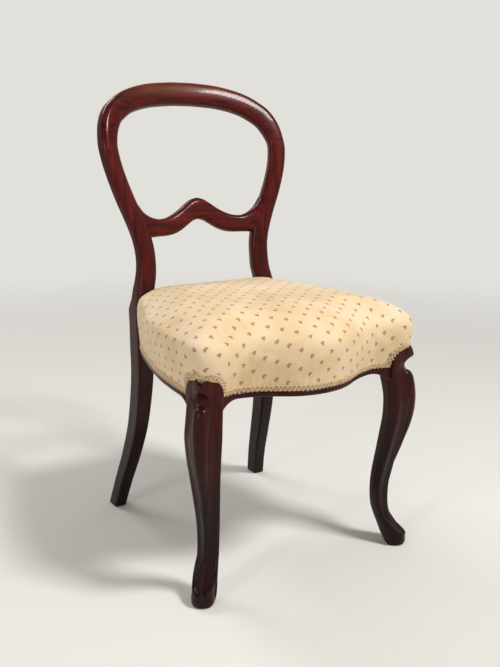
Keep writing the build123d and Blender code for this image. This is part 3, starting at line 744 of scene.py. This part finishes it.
def leg_mesh():
    """The right front leg: the CAD leg's block and ears, cut off at the neck, on a finer shaft."""
    bm = cad_mesh("front_right_leg")
    bmesh.ops.bisect_plane(bm, geom=bm.verts[:] + bm.edges[:] + bm.faces[:], dist=1e-6,
                           plane_co=(0, 0, NECK_Z * MM), plane_no=(0, 0, 1), clear_inner=True)
    bmesh.ops.holes_fill(bm, edges=[e for e in bm.edges if e.is_boundary])
    bmesh.ops.transform(bm, matrix=TO_DRAWING, verts=bm.verts)
    for rings in (leg_rings(), lobe_rings(), toe_rings(), rim_rings()):
        loft(bm, rings)
    for axis in (0, 1):
        add_ear(bm, axis)
    return bm


def carve_leg(obj, side):
    """Cuts the notch between the ears, rubs the hollow of the neck soft and scoops the toe.

    Side is 1 for the right leg and -1 for the left.
    """
    c = math.sqrt(0.5)
    inner = [(z, t - 1.8) for _, t, z in reversed(TOE_RIM)]
    middles = [(z, middle) for z, middle, _ in TOE]
    neck = obj.vertex_groups.new(name="neck")
    for v in obj.data.vertices:
        x, y, z = v.co.x * side / MM, v.co.y / MM + MIDDLE_Y, v.co.z / MM
        s, t = c * ((x - FOOT_X) - (y + FOOT_X)), c * ((x - FOOT_X) + (y + FOOT_X))
        if z > 366:
            v.co.z -= 7.0 * MM * math.exp(-(t / 4.6) ** 2) * ease((z - 368) / 18)
        if 334 < z < 374 and s > -8 and abs(t) < 27:
            deep = 3.6 * math.exp(-((z - 354.5) / 8.5) ** 2)
            deep *= ease((s + 4) / 8) * ease((25 - abs(t)) / 9)
            v.co -= Vector((side * c * deep, -c * deep, 0)) * MM
            soft = ease((z - 342) / 6) * ease((371 - z) / 7) * ease((27 - abs(t)) / 6)
            neck.add([v.index], soft, "REPLACE")
        if 20 < z < 64:
            # The toe is scooped out inside its rim, with a low ridge left down the middle.
            room = between(inner, z) - abs(t)
            front = s - between(middles, z)
            scoop = 3.2 * ease(room / 5) * ease(front / 4) * ease((66 - z) / 26)
            scoop *= 1 - 0.75 * math.exp(-(t / 1.9) ** 2)
            v.co -= Vector((side * c * scoop * 0.9, -c * scoop * 0.9, scoop * 0.45)) * MM
    modify(obj, "SMOOTH", factor=0.5, iterations=36, vertex_group="neck")
    obj.data.shade_smooth()


# ---- seat rails ----

def bracket(place):
    """Height of the lower edge of a rail, level and then swept down as it nears the leg."""
    run = (place - (BRACKET_END - BRACKET_RUN)) / BRACKET_RUN
    run = min(1.0, max(0.0, run))
    return RAIL_BOTTOM - BRACKET_DROP * (1 - math.sqrt(1 - run * run))


def swept_places():
    """Places along the bracket, close together where it drops fast."""
    return [BRACKET_END - BRACKET_RUN * (1 - math.sin(math.radians(a))) for a in range(0, 91, 6)]


def rail_sections(face, places, drop):
    """Rings of a rail: face(place) gives a point of its outer face and the way out of it."""
    rings = []
    for place in places:
        point, out = face(place)
        low = bracket(drop(place)) + 1.0
        profile = [(-RAIL_THICK, low), (-RAIL_THICK, RAIL_TOP), (-REBATE, RAIL_TOP),
                   (-REBATE, COVER_FOOT + 1), (-2.2, COVER_FOOT), (-2.2, low)]
        ring = rounded(profile, (1, 1, 1, 0.5, 0.8, 1), 2)
        rings.append([Vector((point.x + out.x * p.x, point.y + out.y * p.x, p.y)) for p in ring])
    return rings


def bead_path(face, start, side):
    """Middle line of the bead with the way out of it: level from start to the swept end at the leg,
    then down onto the leg. Side is -1 where the leg lies at a negative place."""
    line = [(place, RAIL_BOTTOM + BEAD / 2) for place in range(start, 133, 6)]
    for a in range(0, 91, 5):
        t = math.radians(a)
        run, drop = BRACKET_RUN * math.sin(t), BRACKET_DROP * (1 - math.cos(t))
        n = Vector((BRACKET_DROP * math.sin(t), BRACKET_RUN * math.cos(t))).normalized() * BEAD / 2
        line.append((BRACKET_END - BRACKET_RUN + run + n.x, RAIL_BOTTOM - drop + n.y))
    line.append((line[-1][0], line[-1][1] - 7))
    out = []
    for place, z in line:
        point, normal = face(side * place)
        out.append((Vector((point.x, point.y, z)), normal))
    return out


def bead_rings(path):
    """Half-round bead along a path of (point on the face, way out of it)."""
    line = [point for point, _ in path]
    rings = []
    for i, (point, out) in enumerate(path):
        up = out.cross(heading(line, i)).normalized()
        rings.append([point + out * BEAD_DEPTH * (math.cos(t) - 1) + up * BEAD / 2 * math.sin(t)
                      for t in around(24)])
    return rings


def front_point(x):
    """Point of the front rail's outer face at x, and the way out of it."""
    at = min(183, max(-183, x))
    slope = (between(FRONT_LINE, at + 1) - between(FRONT_LINE, at - 1)) / 2
    return Vector((x, between(FRONT_LINE, x), 0)), Vector((slope, -1, 0)).normalized()


def side_point(y):
    """Point of the right rail's outer face at y, and the way out of it."""
    at = min(131, max(-183, y))
    slope = (between(SIDE_LINE, at + 1) - between(SIDE_LINE, at - 1)) / 2
    return Vector((between(SIDE_LINE, y), y, 0)), Vector((1, -slope, 0)).normalized()


def front_rail_mesh():
    """The front rail with its bead, swept down at both ends."""
    bm = bmesh.new()
    swept = swept_places()
    level = list(range(-132, 133, 6))
    places = [-RAIL_END] + [-x for x in reversed(swept)] + level + swept + [RAIL_END]
    loft(bm, rail_sections(front_point, places, abs))
    right, left = bead_path(front_point, 0, 1), bead_path(front_point, 6, -1)
    loft(bm, bead_rings(list(reversed(left)) + right))
    return bm


def side_rail_mesh():
    """The right rail with its bead, swept down at the front leg."""
    bm = bmesh.new()
    places = [-RAIL_END] + [-y for y in reversed(swept_places())] + list(range(-132, 133, 6))
    loft(bm, rail_sections(side_point, places, lambda y: -y))
    loft(bm, bead_rings(bead_path(side_point, -132, -1)))
    return bm


def rear_rail_mesh():
    """The plain rear rail of the CAD model with its edges planed off."""
    bm = cad_mesh("rear_rail")
    bmesh.ops.dissolve_limit(bm, angle_limit=0.02, verts=bm.verts, edges=bm.edges)
    bmesh.ops.bevel(bm, geom=bm.edges, offset=0.001, segments=3, affect="EDGES", profile=0.5,
                    material=-1)
    bmesh.ops.transform(bm, matrix=TO_DRAWING, verts=bm.verts)
    return bm


# ---- seat ----

def foot_outline():
    """Foot of the cover, from the middle of the front round by the right, with each point's class."""
    out = []
    for i in range(46):
        x = 184 * i / 46
        point, way = front_point(x)
        out.append((point - way * COVER_INSET, way))
    corner = ((186, -214.9), (193, -215.4), (199.5, -214.6), (205, -212.2), (209.4, -209.4),
              (212.2, -205), (214.2, -199.5), (214.7, -193))
    for i, p in enumerate(corner):
        turn = math.radians(-90 + 90 * (i + 0.5) / len(corner))
        out.append((Vector((*p, 0)), Vector((math.cos(turn), math.sin(turn), 0))))
    for i in range(46):
        y = -186 + (126 + 186) * i / 45
        point, way = side_point(max(y, -184))
        out.append((Vector((point.x, y, 0)) - way * COVER_INSET, way))
    rear = REAR_FACE_Y + 1.7
    turn_in = [(158.5, 133), (156, 141), (152, 149.5), (146, 156.5), (139, 160.7), (131, rear)]
    for i, p in enumerate(turn_in):
        turn = math.radians(15 + 75 * i / (len(turn_in) - 1))
        out.append((Vector((*p, 0)), Vector((math.cos(turn), math.sin(turn), 0))))
    for i in range(1, 23):
        out.append((Vector((131 * (1 - i / 23), rear, 0)), Vector((0, 1, 0))))
    out.append((Vector((0, rear, 0)), Vector((0, 1, 0))))
    left = [(Vector((-p.x, p.y, 0)), Vector((-w.x, w.y, 0))) for p, w in reversed(out[1:-1])]
    return out + left


# Inner face and front face of the right stile, with room for the cloth: z, x and z, y
STILE_INNER = [(z, x - w / 2 - 0.4) for z, x, _, w, _ in REAR_LEG]
STILE_INNER += [(z, x - w / 2 - 0.4) for z, x, w, _, _ in UPRIGHT[:4]]
STILE_FRONT = [(z, y - d / 2 - 0.4) for z, _, y, _, d in REAR_LEG]
STILE_FRONT += [(z, back_y(x, z) - d / 2 - 0.4) for z, x, _, d, _ in UPRIGHT[:4]]


def tuck(ring):
    """Leads the parts of a level ring that lie in the stiles round their front and inner faces."""
    z = ring[0].z
    x0, y0 = between(STILE_INNER, z), between(STILE_FRONT, z)
    corner = Vector((x0, y0, z))
    for _ in range(2):
        inside = [i for i, p in enumerate(ring) if p.x > x0 and p.y > y0]
        if inside:
            first, last = inside[0], inside[-1]
            enter, leave = ring[first].copy(), ring[last].copy()
            enter.y, leave.x = y0, x0
            run_a, run_b = (corner - enter).length, (leave - corner).length
            for i in inside:
                place = (i - first) / max(1, last - first) * (run_a + run_b)
                ring[i] = enter.lerp(corner, place / run_a) if place < run_a else corner.lerp(
                    leave, (place - run_a) / run_b)
        # The other stile is reached by mirroring the ring, which the second turn undoes.
        ring = [Vector((-p.x, p.y, p.z)) for p in reversed(ring)]
    return ring


def in_stile(p):
    """Whether a point of the cover lies against a stile."""
    z = min(p.z, TURNED_Z)
    return abs(p.x) > between(STILE_INNER, z) - 0.3 and p.y > between(STILE_FRONT, z) - 0.3


def cover_rings(shift=0.0):
    """Rings of the cover from its foot to its crown, moved out and up by shift."""
    outline = foot_outline()
    rings = []
    for z, swell in smooth(SWELL, 3):
        z += shift * ease((z - 425) / 30)
        if swell + shift < -0.9 and z > 425:
            k = 1 + (swell + shift) / 213
            ring = [Vector((p.x * k, k * (p.y - CROWN_Y) + CROWN_Y, z)) for p, _ in outline]
        else:
            ring = []
            for p, way in outline:
                share = 1 - (1 - REAR_SHARE) * ease((p.y + 10) / 140)
                # Above the ears the cloth is drawn in, so it swells less at the front corners.
                near = min(1, max(0, (abs(p.x) - 150) / 50)) * min(1, max(0, (-p.y - 150) / 50))
                held = 1 - 0.3 * near * (1 - ease((z - 372) / 36))
                out = swell * share * held + shift
                ring.append(Vector((p.x + way.x * out, p.y + way.y * out, z)))
        rings.append(tuck(ring))
    return rings


def stuffing_rings():
    """The hair pad: over the hessian, down the outside of the rails, and up under the cover."""
    outline = foot_outline()[::2]
    rings = []
    for z, out in ((HESSIAN_TOP, -40), (HESSIAN_TOP, -8), (RAIL_TOP + 1, -3), (STUFFING_FOOT, -2.6)):
        rings.append(tuck([Vector((p.x + way.x * out, p.y + way.y * out, z)) for p, way in outline]))
    return rings + [ring[::2] for ring in cover_rings(-4.5) if ring[0].z > STUFFING_FOOT + 1]


def cloth_side(p):
    """Which way the cloth falls from this part of the seat's edge."""
    if p.y > 140:
        return Vector((0, 1))
    if abs(p.x) < -p.y:
        return Vector((0, -1))
    return Vector((1 if p.x > 0 else -1, 0))


def lay_cloth(bm, rings):
    """Flattens the cover into the uv map 'cloth', in metres: spread from the crown, then straight
    down each side, with the joins at the corners."""
    layer = bm.loops.layers.uv.new("cloth")
    edge = next(k for k, ring in enumerate(rings) if ring[0].z > 440)
    crown = Vector((0, CROWN_Y))
    spots = {}
    for j in range(len(rings[0])):
        reach, here = 0.0, Vector((*crown, rings[-1][0].z))
        for k in range(len(rings) - 1, edge - 1, -1):
            p = rings[k][j]
            reach += (p - here).length
            here = p
            spots[k, j] = (p.xy - crown).normalized() * reach + crown
        drop = 0.0
        for k in range(edge - 1, -1, -1):
            drop += (rings[k][j] - rings[k + 1][j]).length
            spots[k, j] = (spots[edge, j], drop)
    bm.verts.index_update()
    for face in bm.faces:
        keys = [divmod(loop.vert.index, len(rings[0])) for loop in face.loops]
        way = cloth_side(sum((rings[min(k, edge)][j] for k, j in keys), Vector()) / len(keys))
        for loop, key in zip(face.loops, keys):
            spot = spots[key]
            if isinstance(spot, tuple):
                spot = spot[0] + way * spot[1]
            loop[layer].uv = spot * MM


def cover_mesh():
    """The cover, open at its foot and crown, and its points that stay held in the simulation."""
    rings = cover_rings()
    bm = bmesh.new()
    loft(bm, rings, first=False, last=False)
    bmesh.ops.recalc_face_normals(bm, faces=bm.faces)
    lay_cloth(bm, rings)
    held = [k * len(ring) + j for k, ring in enumerate(rings)
            for j, p in enumerate(ring) if k < 2 or in_stile(p)]
    return bm, held


def swell_cloth(obj, held, reach):
    """Fills the cover with pressure over 20 frames, its held points pinned and none moving far."""
    before = [v.co.copy() for v in obj.data.vertices]
    pins = obj.vertex_groups.new(name="pins")
    pins.add(held, 1.0, "REPLACE")
    cloth = obj.modifiers.new("cloth", "CLOTH")
    for key, value in {
            "quality": 6, "mass": 0.25, "tension_stiffness": 40, "compression_stiffness": 40,
            "shear_stiffness": 12, "bending_stiffness": 8, "use_pressure": True,
            "uniform_pressure_force": 4, "vertex_group_mass": "pins"}.items():
        setattr(cloth.settings, key, value)
    cloth.settings.effector_weights.gravity = 0
    cloth.collision_settings.use_collision = False
    scene = bpy.context.scene
    for number in range(1, 21):
        scene.frame_set(number)
    apply_modifiers(obj)
    scene.frame_set(1)
    for v, old in zip(obj.data.vertices, before):
        move = v.co - old
        if move.length > reach:
            v.co = old + move.normalized() * reach


def close_crown(obj):
    """Fills the small hole left at the crown."""
    bm = bmesh.new()
    bm.from_mesh(obj.data)
    rim = [e for e in bm.edges if e.is_boundary and e.verts[0].co.z > 0.47]
    made = bmesh.ops.contextual_create(bm, geom=rim)["faces"]
    bmesh.ops.poke(bm, faces=made)
    bmesh.ops.recalc_face_normals(bm, faces=bm.faces)
    bm.to_mesh(obj.data)
    bm.free()


def crease(obj):
    """Corner pleats and the puckers drawn up by the tacks under the braid."""
    for v in obj.data.vertices:
        x, y, z = v.co.x / MM, v.co.y / MM + MIDDLE_Y, v.co.z / MM
        if z > 470 or y > 120:
            continue
        out = Vector((x, y - CROWN_Y, 0)).normalized() * MM
        # One folded pleat at each front corner, running up from the notch between the ears.
        t = abs(x) + y
        if z < 432 and y < -120:
            lean = (z - 390) * 0.18
            line = t - 4 - lean
            fade = ease((432 - z) / 30) * ease((z - 372) / 14)
            ridge, fold = math.exp(-((line - 4) / 3.0) ** 2), math.exp(-(line / 1.6) ** 2)
            v.co += out * fade * (0.9 * ridge - 1.8 * fold)
        # Shallow puckers above the braid, 9 to 16 mm apart.
        run = x if abs(x) < -y else y
        wave = math.sin(run / 2.1 + 1.3 * math.sin(run / 17)) * math.sin(run / 13 + 0.7)
        v.co += out * 0.35 * wave * ease((392 - z) / 22)


# ---- braid ----

def braid_route():
    """Middle line of the braid on the right: along the front, over the ears, along the side."""
    rise = COVER_FOOT + BRAID_MIDDLE
    front = [(x, between(FRONT_LINE, x) - 1, rise) for x in range(0, 163, 9)]
    front += [(168, -213, rise + 1), (172.4, -216, rise + 8), (175.8, -219, rise + 18),
              (182.5, -222, rise + 27.5), (192, -224, rise + 33.5), (202.5, -224, rise + 35.5),
              (212.5, -222.5, rise + 33.5)]
    corner = [(220, -220, rise + 30)]
    side = [(-y, -x, z) for x, y, z in reversed(front[-7:])]
    side += [(between(SIDE_LINE, y) + 1, y, rise) for y in range(-160, 121, 9)]
    side.append((between(SIDE_LINE, 125) + 0.5, 125, rise))
    return front + corner + side


def even(points, gap):
    """Points about gap apart along the polyline, with their share of its length."""
    total = sum((b - a).length for a, b in zip(points, points[1:]))
    count = max(2, round(total / gap))
    out, passed, i = [], 0.0, 0
    for k in range(count + 1):
        place = total * k / count
        while i < len(points) - 2 and passed + (points[i + 1] - points[i]).length < place:
            passed += (points[i + 1] - points[i]).length
            i += 1
        a, b = points[i:i + 2]
        out.append(a.lerp(b, (place - passed) / (b - a).length))
    return out


def on_cloth(tree, points):
    """Each point brought onto the cloth, with the way out of it, along the line and across it."""
    spots, normals = [], []
    for p in points:
        spot, normal, _, _ = tree.find_nearest(TO_FRAME @ p)
        spots.append(TO_DRAWING @ spot)
        normals.append(normal)
    out = []
    for i, spot in enumerate(spots):
        near = sum((normals[min(max(i + k, 0), len(spots) - 1)] for k in range(-3, 4)), Vector())
        normal = Vector((near.x, near.y, near.z * 0.3)).normalized()
        along = heading(spots, i)
        along = (along - normal * along.dot(normal)).normalized()
        out.append((spot, normal, along, normal.cross(along)))
    return out


def braid(name, tree, route, nodes, settings, materials):
    """Looped braid: a cord in loops and a header cord, over a flat woven tape."""
    per_loop = 16
    line = even([Vector(p) for p in smooth(route, 6)], settings.loop_pitch / MM / per_loop)
    frames = on_cloth(tree, line)
    curve = bpy.data.curves.new(name, "CURVE")
    curve.dimensions = "3D"
    curve.bevel_depth = settings.cord_thickness / 2
    curve.bevel_resolution = 1
    # Each cord: how far it swings, its middle across the tape, how far it loops back, first turn.
    for reach, middle, loop, start in ((4.6, -0.6, 0.75, 0.0), (1.5, 3.4, 0.5, math.pi / 2)):
        spline = curve.splines.new("POLY")
        spline.points.add(len(frames) - 1)
        for k, (spot, normal, along, across) in enumerate(frames):
            turn = math.tau * k / per_loop + start
            place = spot + across * (middle + reach * math.sin(turn))
            place += along * loop * math.sin(2 * turn) + normal * (1.2 + 0.4 * math.cos(turn))
            spline.points[k].co = (*(TO_FRAME @ place), 1)
    carrier = placed(name, curve)
    cords = evaluated_mesh(carrier)
    bpy.data.objects.remove(carrier)
    bm = bmesh.new()
    bm.from_mesh(cords)
    bpy.data.meshes.remove(cords)
    bmesh.ops.transform(bm, matrix=TO_DRAWING, verts=bm.verts)
    section = ((-3.9, -0.6), (3.9, -0.6), (3.9, 0.5), (0, 0.8), (-3.9, 0.5))
    tape = [[spot + across * u + normal * h for u, h in section]
            for spot, normal, _, across in frames[::per_loop // 2]]
    cord_faces = len(bm.faces)
    loft(bm, tape)
    for face in list(bm.faces)[cord_faces:]:
        face.material_index = 1
    obj = piece(bm, name, materials[0], nodes)
    obj.data.materials.append(materials[1])
    return obj


# ---- stage ----

def add_paper():
    """Round sheet of paper that runs out level and then curves up into a wall."""
    level, bend, top = 4.5, 1.5, 3.6
    line = [(0, 0), (1.5, 0), (level, 0)]
    for a in range(10, 91, 10):
        turn = math.radians(a)
        line.append((level + bend * math.sin(turn), bend - bend * math.cos(turn)))
    line.append((level + bend, top))
    bm = bmesh.new()
    verts = [bm.verts.new((x, 0, z)) for x, z in line]
    edges = [bm.edges.new(pair) for pair in zip(verts, verts[1:])]
    bmesh.ops.spin(bm, geom=verts + edges, axis=(0, 0, 1), cent=(0, 0, 0), angle=math.tau,
                   steps=64, use_merge=True)
    bmesh.ops.remove_doubles(bm, verts=bm.verts, dist=1e-4)
    mesh = bpy.data.meshes.new("paper_sweep")
    bm.to_mesh(mesh)
    bm.free()
    mesh.shade_smooth()
    mesh.materials.append(new_material("pale_paper", pale_paper))
    floor = placed("paper_sweep", mesh)


def add_lamps(scene):
    """Dim studio world, a soft key at the front right, a fill at the left and one behind."""
    world = bpy.data.worlds.new("studio")
    scene.world = world
    world.use_nodes = True
    backdrop = world.node_tree.nodes["Background"].inputs
    backdrop["Color"].default_value = (*hex_colour("#e9ebee"), 1)
    backdrop["Strength"].default_value = 0.42
    for name, place, aim, width, height, power in (
            ("key_softbox", (0.9, -1.7, 2.9), (0, -0.05, 0.42), 0.6, 0.6, 78),
            ("fill_strip", (-2.3, -0.9, 1.5), (0, 0, 0.5), 0.2, 1.2, 9),
            ("rear_strip", (-0.6, 1.9, 2.4), (0, 0.1, 0.6), 1.4, 0.25, 22)):
        data = bpy.data.lights.new(name, "AREA")
        data.shape = "RECTANGLE"
        data.size, data.size_y = width, height
        data.energy = power
        lamp = placed(name, data)
        lamp.location = place
        lamp.rotation_euler = (Vector(aim) - Vector(place)).to_track_quat("-Z", "Y").to_euler()


def add_camera(scene):
    """Camera at the photo's own place, level but for a slight roll."""
    data = bpy.data.cameras.new("camera")
    data.sensor_fit = "AUTO"
    data.sensor_width = 36
    data.lens = 45.99
    camera = placed("camera", data)
    right = Vector((0.8434, -0.5372, 0)).normalized()
    forward = Vector((0.522, 0.820, -0.233)).normalized()
    forward = (forward - right * forward.dot(right)).normalized()
    up = right.cross(forward)
    roll = 0.0093878
    side = right * math.cos(roll) + up * math.sin(roll)
    top = up * math.cos(roll) - right * math.sin(roll)
    turn = Matrix((side, top, -forward)).transposed()
    camera.matrix_world = Matrix.Translation((-0.830, -1.3193, 0.766)) @ turn.to_4x4()
    scene.camera = camera


# ---- settings and operators ----

COLOUR = {"subtype": "COLOR", "size": 3}
LENGTH = {"subtype": "DISTANCE", "unit": "LENGTH"}


class ChairWood(bpy.types.PropertyGroup):
    """Colours of the mahogany and the finish of its carving"""
    dark: FloatVectorProperty(name="Dark figure", description="Darkest streaks of the mahogany",
                              default=hex_colour("#230604"), **COLOUR)
    red: FloatVectorProperty(name="Red figure", description="Lightest streaks of the mahogany",
                             default=hex_colour("#6b150c"), **COLOUR)
    grid: FloatProperty(name="Carving grid", description="Grid that the carved pieces are fused on",
                        default=0.0011, min=0.0008, **LENGTH)
    easing: IntProperty(name="Sanding", description="Passes that ease the carved pieces' edges",
                        default=4, min=0)


class ChairSeat(bpy.types.PropertyGroup):
    """Print and fit of the seat cloth"""
    ground: FloatVectorProperty(name="Ground", description="Ground colour of the seat cloth",
                                default=hex_colour("#edd2a8"), **COLOUR)
    sprig: FloatVectorProperty(name="Sprig", description="Colour of the printed sprigs",
                               default=hex_colour("#a24a2c"), **COLOUR)
    repeat_across: FloatProperty(name="Repeat across", description="Width of the print's repeat",
                                 default=0.036, **LENGTH)
    repeat_down: FloatProperty(name="Repeat down", description="Height of the print's repeat",
                               default=0.033, **LENGTH)
    slack: FloatProperty(name="Slack", description="Most that the cloth swells past its pattern",
                         default=0.0009, **LENGTH)


class ChairBraid(bpy.types.PropertyGroup):
    """Yarn and loops of the braid"""
    dark: FloatVectorProperty(name="Shade", description="Shaded yarn of the braid",
                              default=hex_colour("#b8946a"), **COLOUR)
    light: FloatVectorProperty(name="Yarn", description="Lit yarn of the braid",
                               default=hex_colour("#ead2a8"), **COLOUR)
    loop_pitch: FloatProperty(name="Loop pitch", description="Distance from one loop to the next",
                              default=0.0076, **LENGTH)
    cord_thickness: FloatProperty(name="Cord", description="Thickness of the looped cord",
                                  default=0.0025, **LENGTH)


class CHAIR_OT_back(bpy.types.Operator):
    """Stiles, crest rail and mid rail of the hoop back"""
    bl_idname = "chair.back"
    bl_label = "Build the hoop back"

    def execute(self, context):
        wood = context.scene.chair_wood
        upright = new_material("french_polished_mahogany_upright", mahogany, 2, wood)
        across = new_material("french_polished_mahogany_across", mahogany, 0, wood)
        pair(stile_mesh, "polished_{}_stile", upright, "{}_stile")
        piece(crest_mesh(), "polished_crest_rail", across, ["crest_rail"])
        obj = piece(mid_rail_mesh(), "polished_mid_rail", across, ["mid_rail"])
        fuse(obj, wood.grid * 1.2, 12)
        return {"FINISHED"}


class CHAIR_OT_front_legs(bpy.types.Operator):
    """Carved cabriole front legs, each shaped from its shaft, knee lobe, toe and scrolled ears"""
    bl_idname = "chair.front_legs"
    bl_label = "Carve the front legs"

    def execute(self, context):
        wood = context.scene.chair_wood
        upright = bpy.data.materials["french_polished_mahogany_upright"]
        legs = pair(leg_mesh, "carved_front_{}_leg", upright, "front_{}_leg")
        for obj, side in zip(legs, (1, -1)):
            fuse(obj, wood.grid, wood.easing)
            carve_leg(obj, side)
        return {"FINISHED"}


class CHAIR_OT_rails(bpy.types.Operator):
    """Seat rails with their bead, swept down onto the front legs"""
    bl_idname = "chair.rails"
    bl_label = "Shape the seat rails"

    def execute(self, context):
        wood = context.scene.chair_wood
        across = bpy.data.materials["french_polished_mahogany_across"]
        deep = new_material("french_polished_mahogany_deep", mahogany, 1, wood)
        front = piece(front_rail_mesh(), "beaded_front_rail", across, ["front_rail"])
        for obj in [front] + pair(side_rail_mesh, "beaded_{}_rail", deep, "{}_rail"):
            fuse(obj, wood.grid * 1.1, 2)
        piece(rear_rail_mesh(), "planed_rear_rail", across, ["rear_rail"])
        return {"FINISHED"}


class CHAIR_OT_underside(bpy.types.Operator):
    """Corner blocks, screws, dowels, webbing and hessian, which keep their CAD shapes"""
    bl_idname = "chair.underside"
    bl_label = "Finish the underside"

    def execute(self, context):
        beech = new_material("sawn_beech", sawn_beech)
        web = jute, hex_colour("#6b4a2a"), hex_colour("#b08a58"), 3 * MM
        sacking = jute, hex_colour("#7a5c38"), hex_colour("#c2a271"), 2 * MM
        finishes = {"_block": beech, "crest_dowels": beech,
                    "block_screws": new_material("turned_steel", turned_steel),
                    "webbing_long": new_material("jute_webbing_lengthways", *web, 0),
                    "webbing_cross": new_material("jute_webbing_crossways", *web, 1),
                    "hessian": new_material("jute_hessian", *sacking)}
        for name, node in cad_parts.items():
            for part, material in finishes.items():
                if part in name:
                    node.data.materials.clear()
                    node.data.materials.append(material)
        return {"FINISHED"}


class CHAIR_OT_seat(bpy.types.Operator):
    """Stuffed seat: the hair pad and its cover, filled by a cloth simulation"""
    bl_idname = "chair.seat"
    bl_label = "Stuff and cover the seat"

    def execute(self, context):
        settings = context.scene.chair_seat
        hair = new_material("curled_hair", yarn, hex_colour("#2c2018"), hex_colour("#5d4632"), 420.0,
                            0.95)
        bm = bmesh.new()
        loft(bm, stuffing_rings())
        obj = piece(bm, "hair_stuffing", hair, ["stuffing"])

        bm, held = cover_mesh()
        cotton = new_material("printed_cotton", printed_cotton, settings)
        obj = piece(bm, "stuffed_seat", cotton, ["seat_cover"])
        swell_cloth(obj, held, settings.slack)
        modify(obj, "SUBSURF", levels=1, render_levels=1)
        close_crown(obj)
        crease(obj)
        modify(obj, "SOLIDIFY", thickness=CLOTH_THICK * MM, offset=-1)
        obj.data.shade_smooth()
        return {"FINISHED"}


class CHAIR_OT_braid(bpy.types.Operator):
    """Looped braid over the edge of the cover, round the front and sides and at the rear"""
    bl_idname = "chair.braid"
    bl_label = "Sew on the braid"

    def execute(self, context):
        settings = context.scene.chair_braid
        # The braid's dark and light colours are a shaded and a lit tone of one yarn: painted shade and
        # painted light, mixed at random over the cords and the tape.
        dark, light = settings.dark, settings.light
        materials = (new_material("looped_silk_cord", yarn, dark, light, 500.0, 0.55),
                     new_material("woven_braid_tape", yarn, hex_colour("#94734d"), light, 900.0, 0.8))
        mesh = bpy.data.objects["stuffed_seat"].data
        tree = BVHTree.FromPolygons([v.co for v in mesh.vertices], [p.vertices for p in mesh.polygons])
        right = braid_route()
        left = [(-x, y, z) for x, y, z in reversed(right[1:])]
        braid("looped_braid_front", tree, left + right, ["gimp_front"], settings, materials)
        rear = [(x, REAR_FACE_Y + 2, COVER_FOOT + BRAID_MIDDLE) for x in range(-120, 121, 12)]
        braid("looped_braid_rear", tree, rear, ["gimp_rear"], settings, materials)
        return {"FINISHED"}


class CHAIR_OT_stage(bpy.types.Operator):
    """Pale floor, soft studio light and the camera"""
    bl_idname = "chair.stage"
    bl_label = "Set the stage"

    def execute(self, context):
        add_paper()
        add_lamps(context.scene)
        add_camera(context.scene)
        context.scene.view_settings.view_transform = "Standard"
        return {"FINISHED"}


class CHAIR_PT_panel(bpy.types.Panel):
    """Steps of the chair in the order in which they run"""
    bl_idname = "CHAIR_PT_panel"
    bl_label = "Balloon back chair"
    bl_space_type = "VIEW_3D"
    bl_region_type = "UI"
    bl_category = "Chair"

    def draw(self, context):
        for step in STEPS:
            self.layout.operator(step.bl_idname)
        for name in GROUPS:
            group = getattr(context.scene, name)
            box = self.layout.box()
            for key in group.__annotations__:
                box.prop(group, key)


GROUPS = {"chair_wood": ChairWood, "chair_seat": ChairSeat, "chair_braid": ChairBraid}
STEPS = (CHAIR_OT_back, CHAIR_OT_front_legs, CHAIR_OT_rails, CHAIR_OT_underside, CHAIR_OT_seat,
         CHAIR_OT_braid, CHAIR_OT_stage)
CLASSES = (*GROUPS.values(), *STEPS, CHAIR_PT_panel)


def register():
    """Makes the chair's classes and settings known."""
    for item in CLASSES:
        bpy.utils.register_class(item)
    for name, group in GROUPS.items():
        setattr(bpy.types.Scene, name, PointerProperty(type=group))


def unregister():
    """Takes them away again."""
    for name in GROUPS:
        delattr(bpy.types.Scene, name)
    for item in reversed(CLASSES):
        bpy.utils.unregister_class(item)


def main():
    """Builds the chair step by step."""
    register()
    bpy.ops.chair.back()
    bpy.ops.chair.front_legs()
    bpy.ops.chair.rails()
    bpy.ops.chair.underside()
    bpy.ops.chair.seat()
    bpy.ops.chair.braid()
    bpy.ops.chair.stage()


if __name__ == "__main__":
    main()
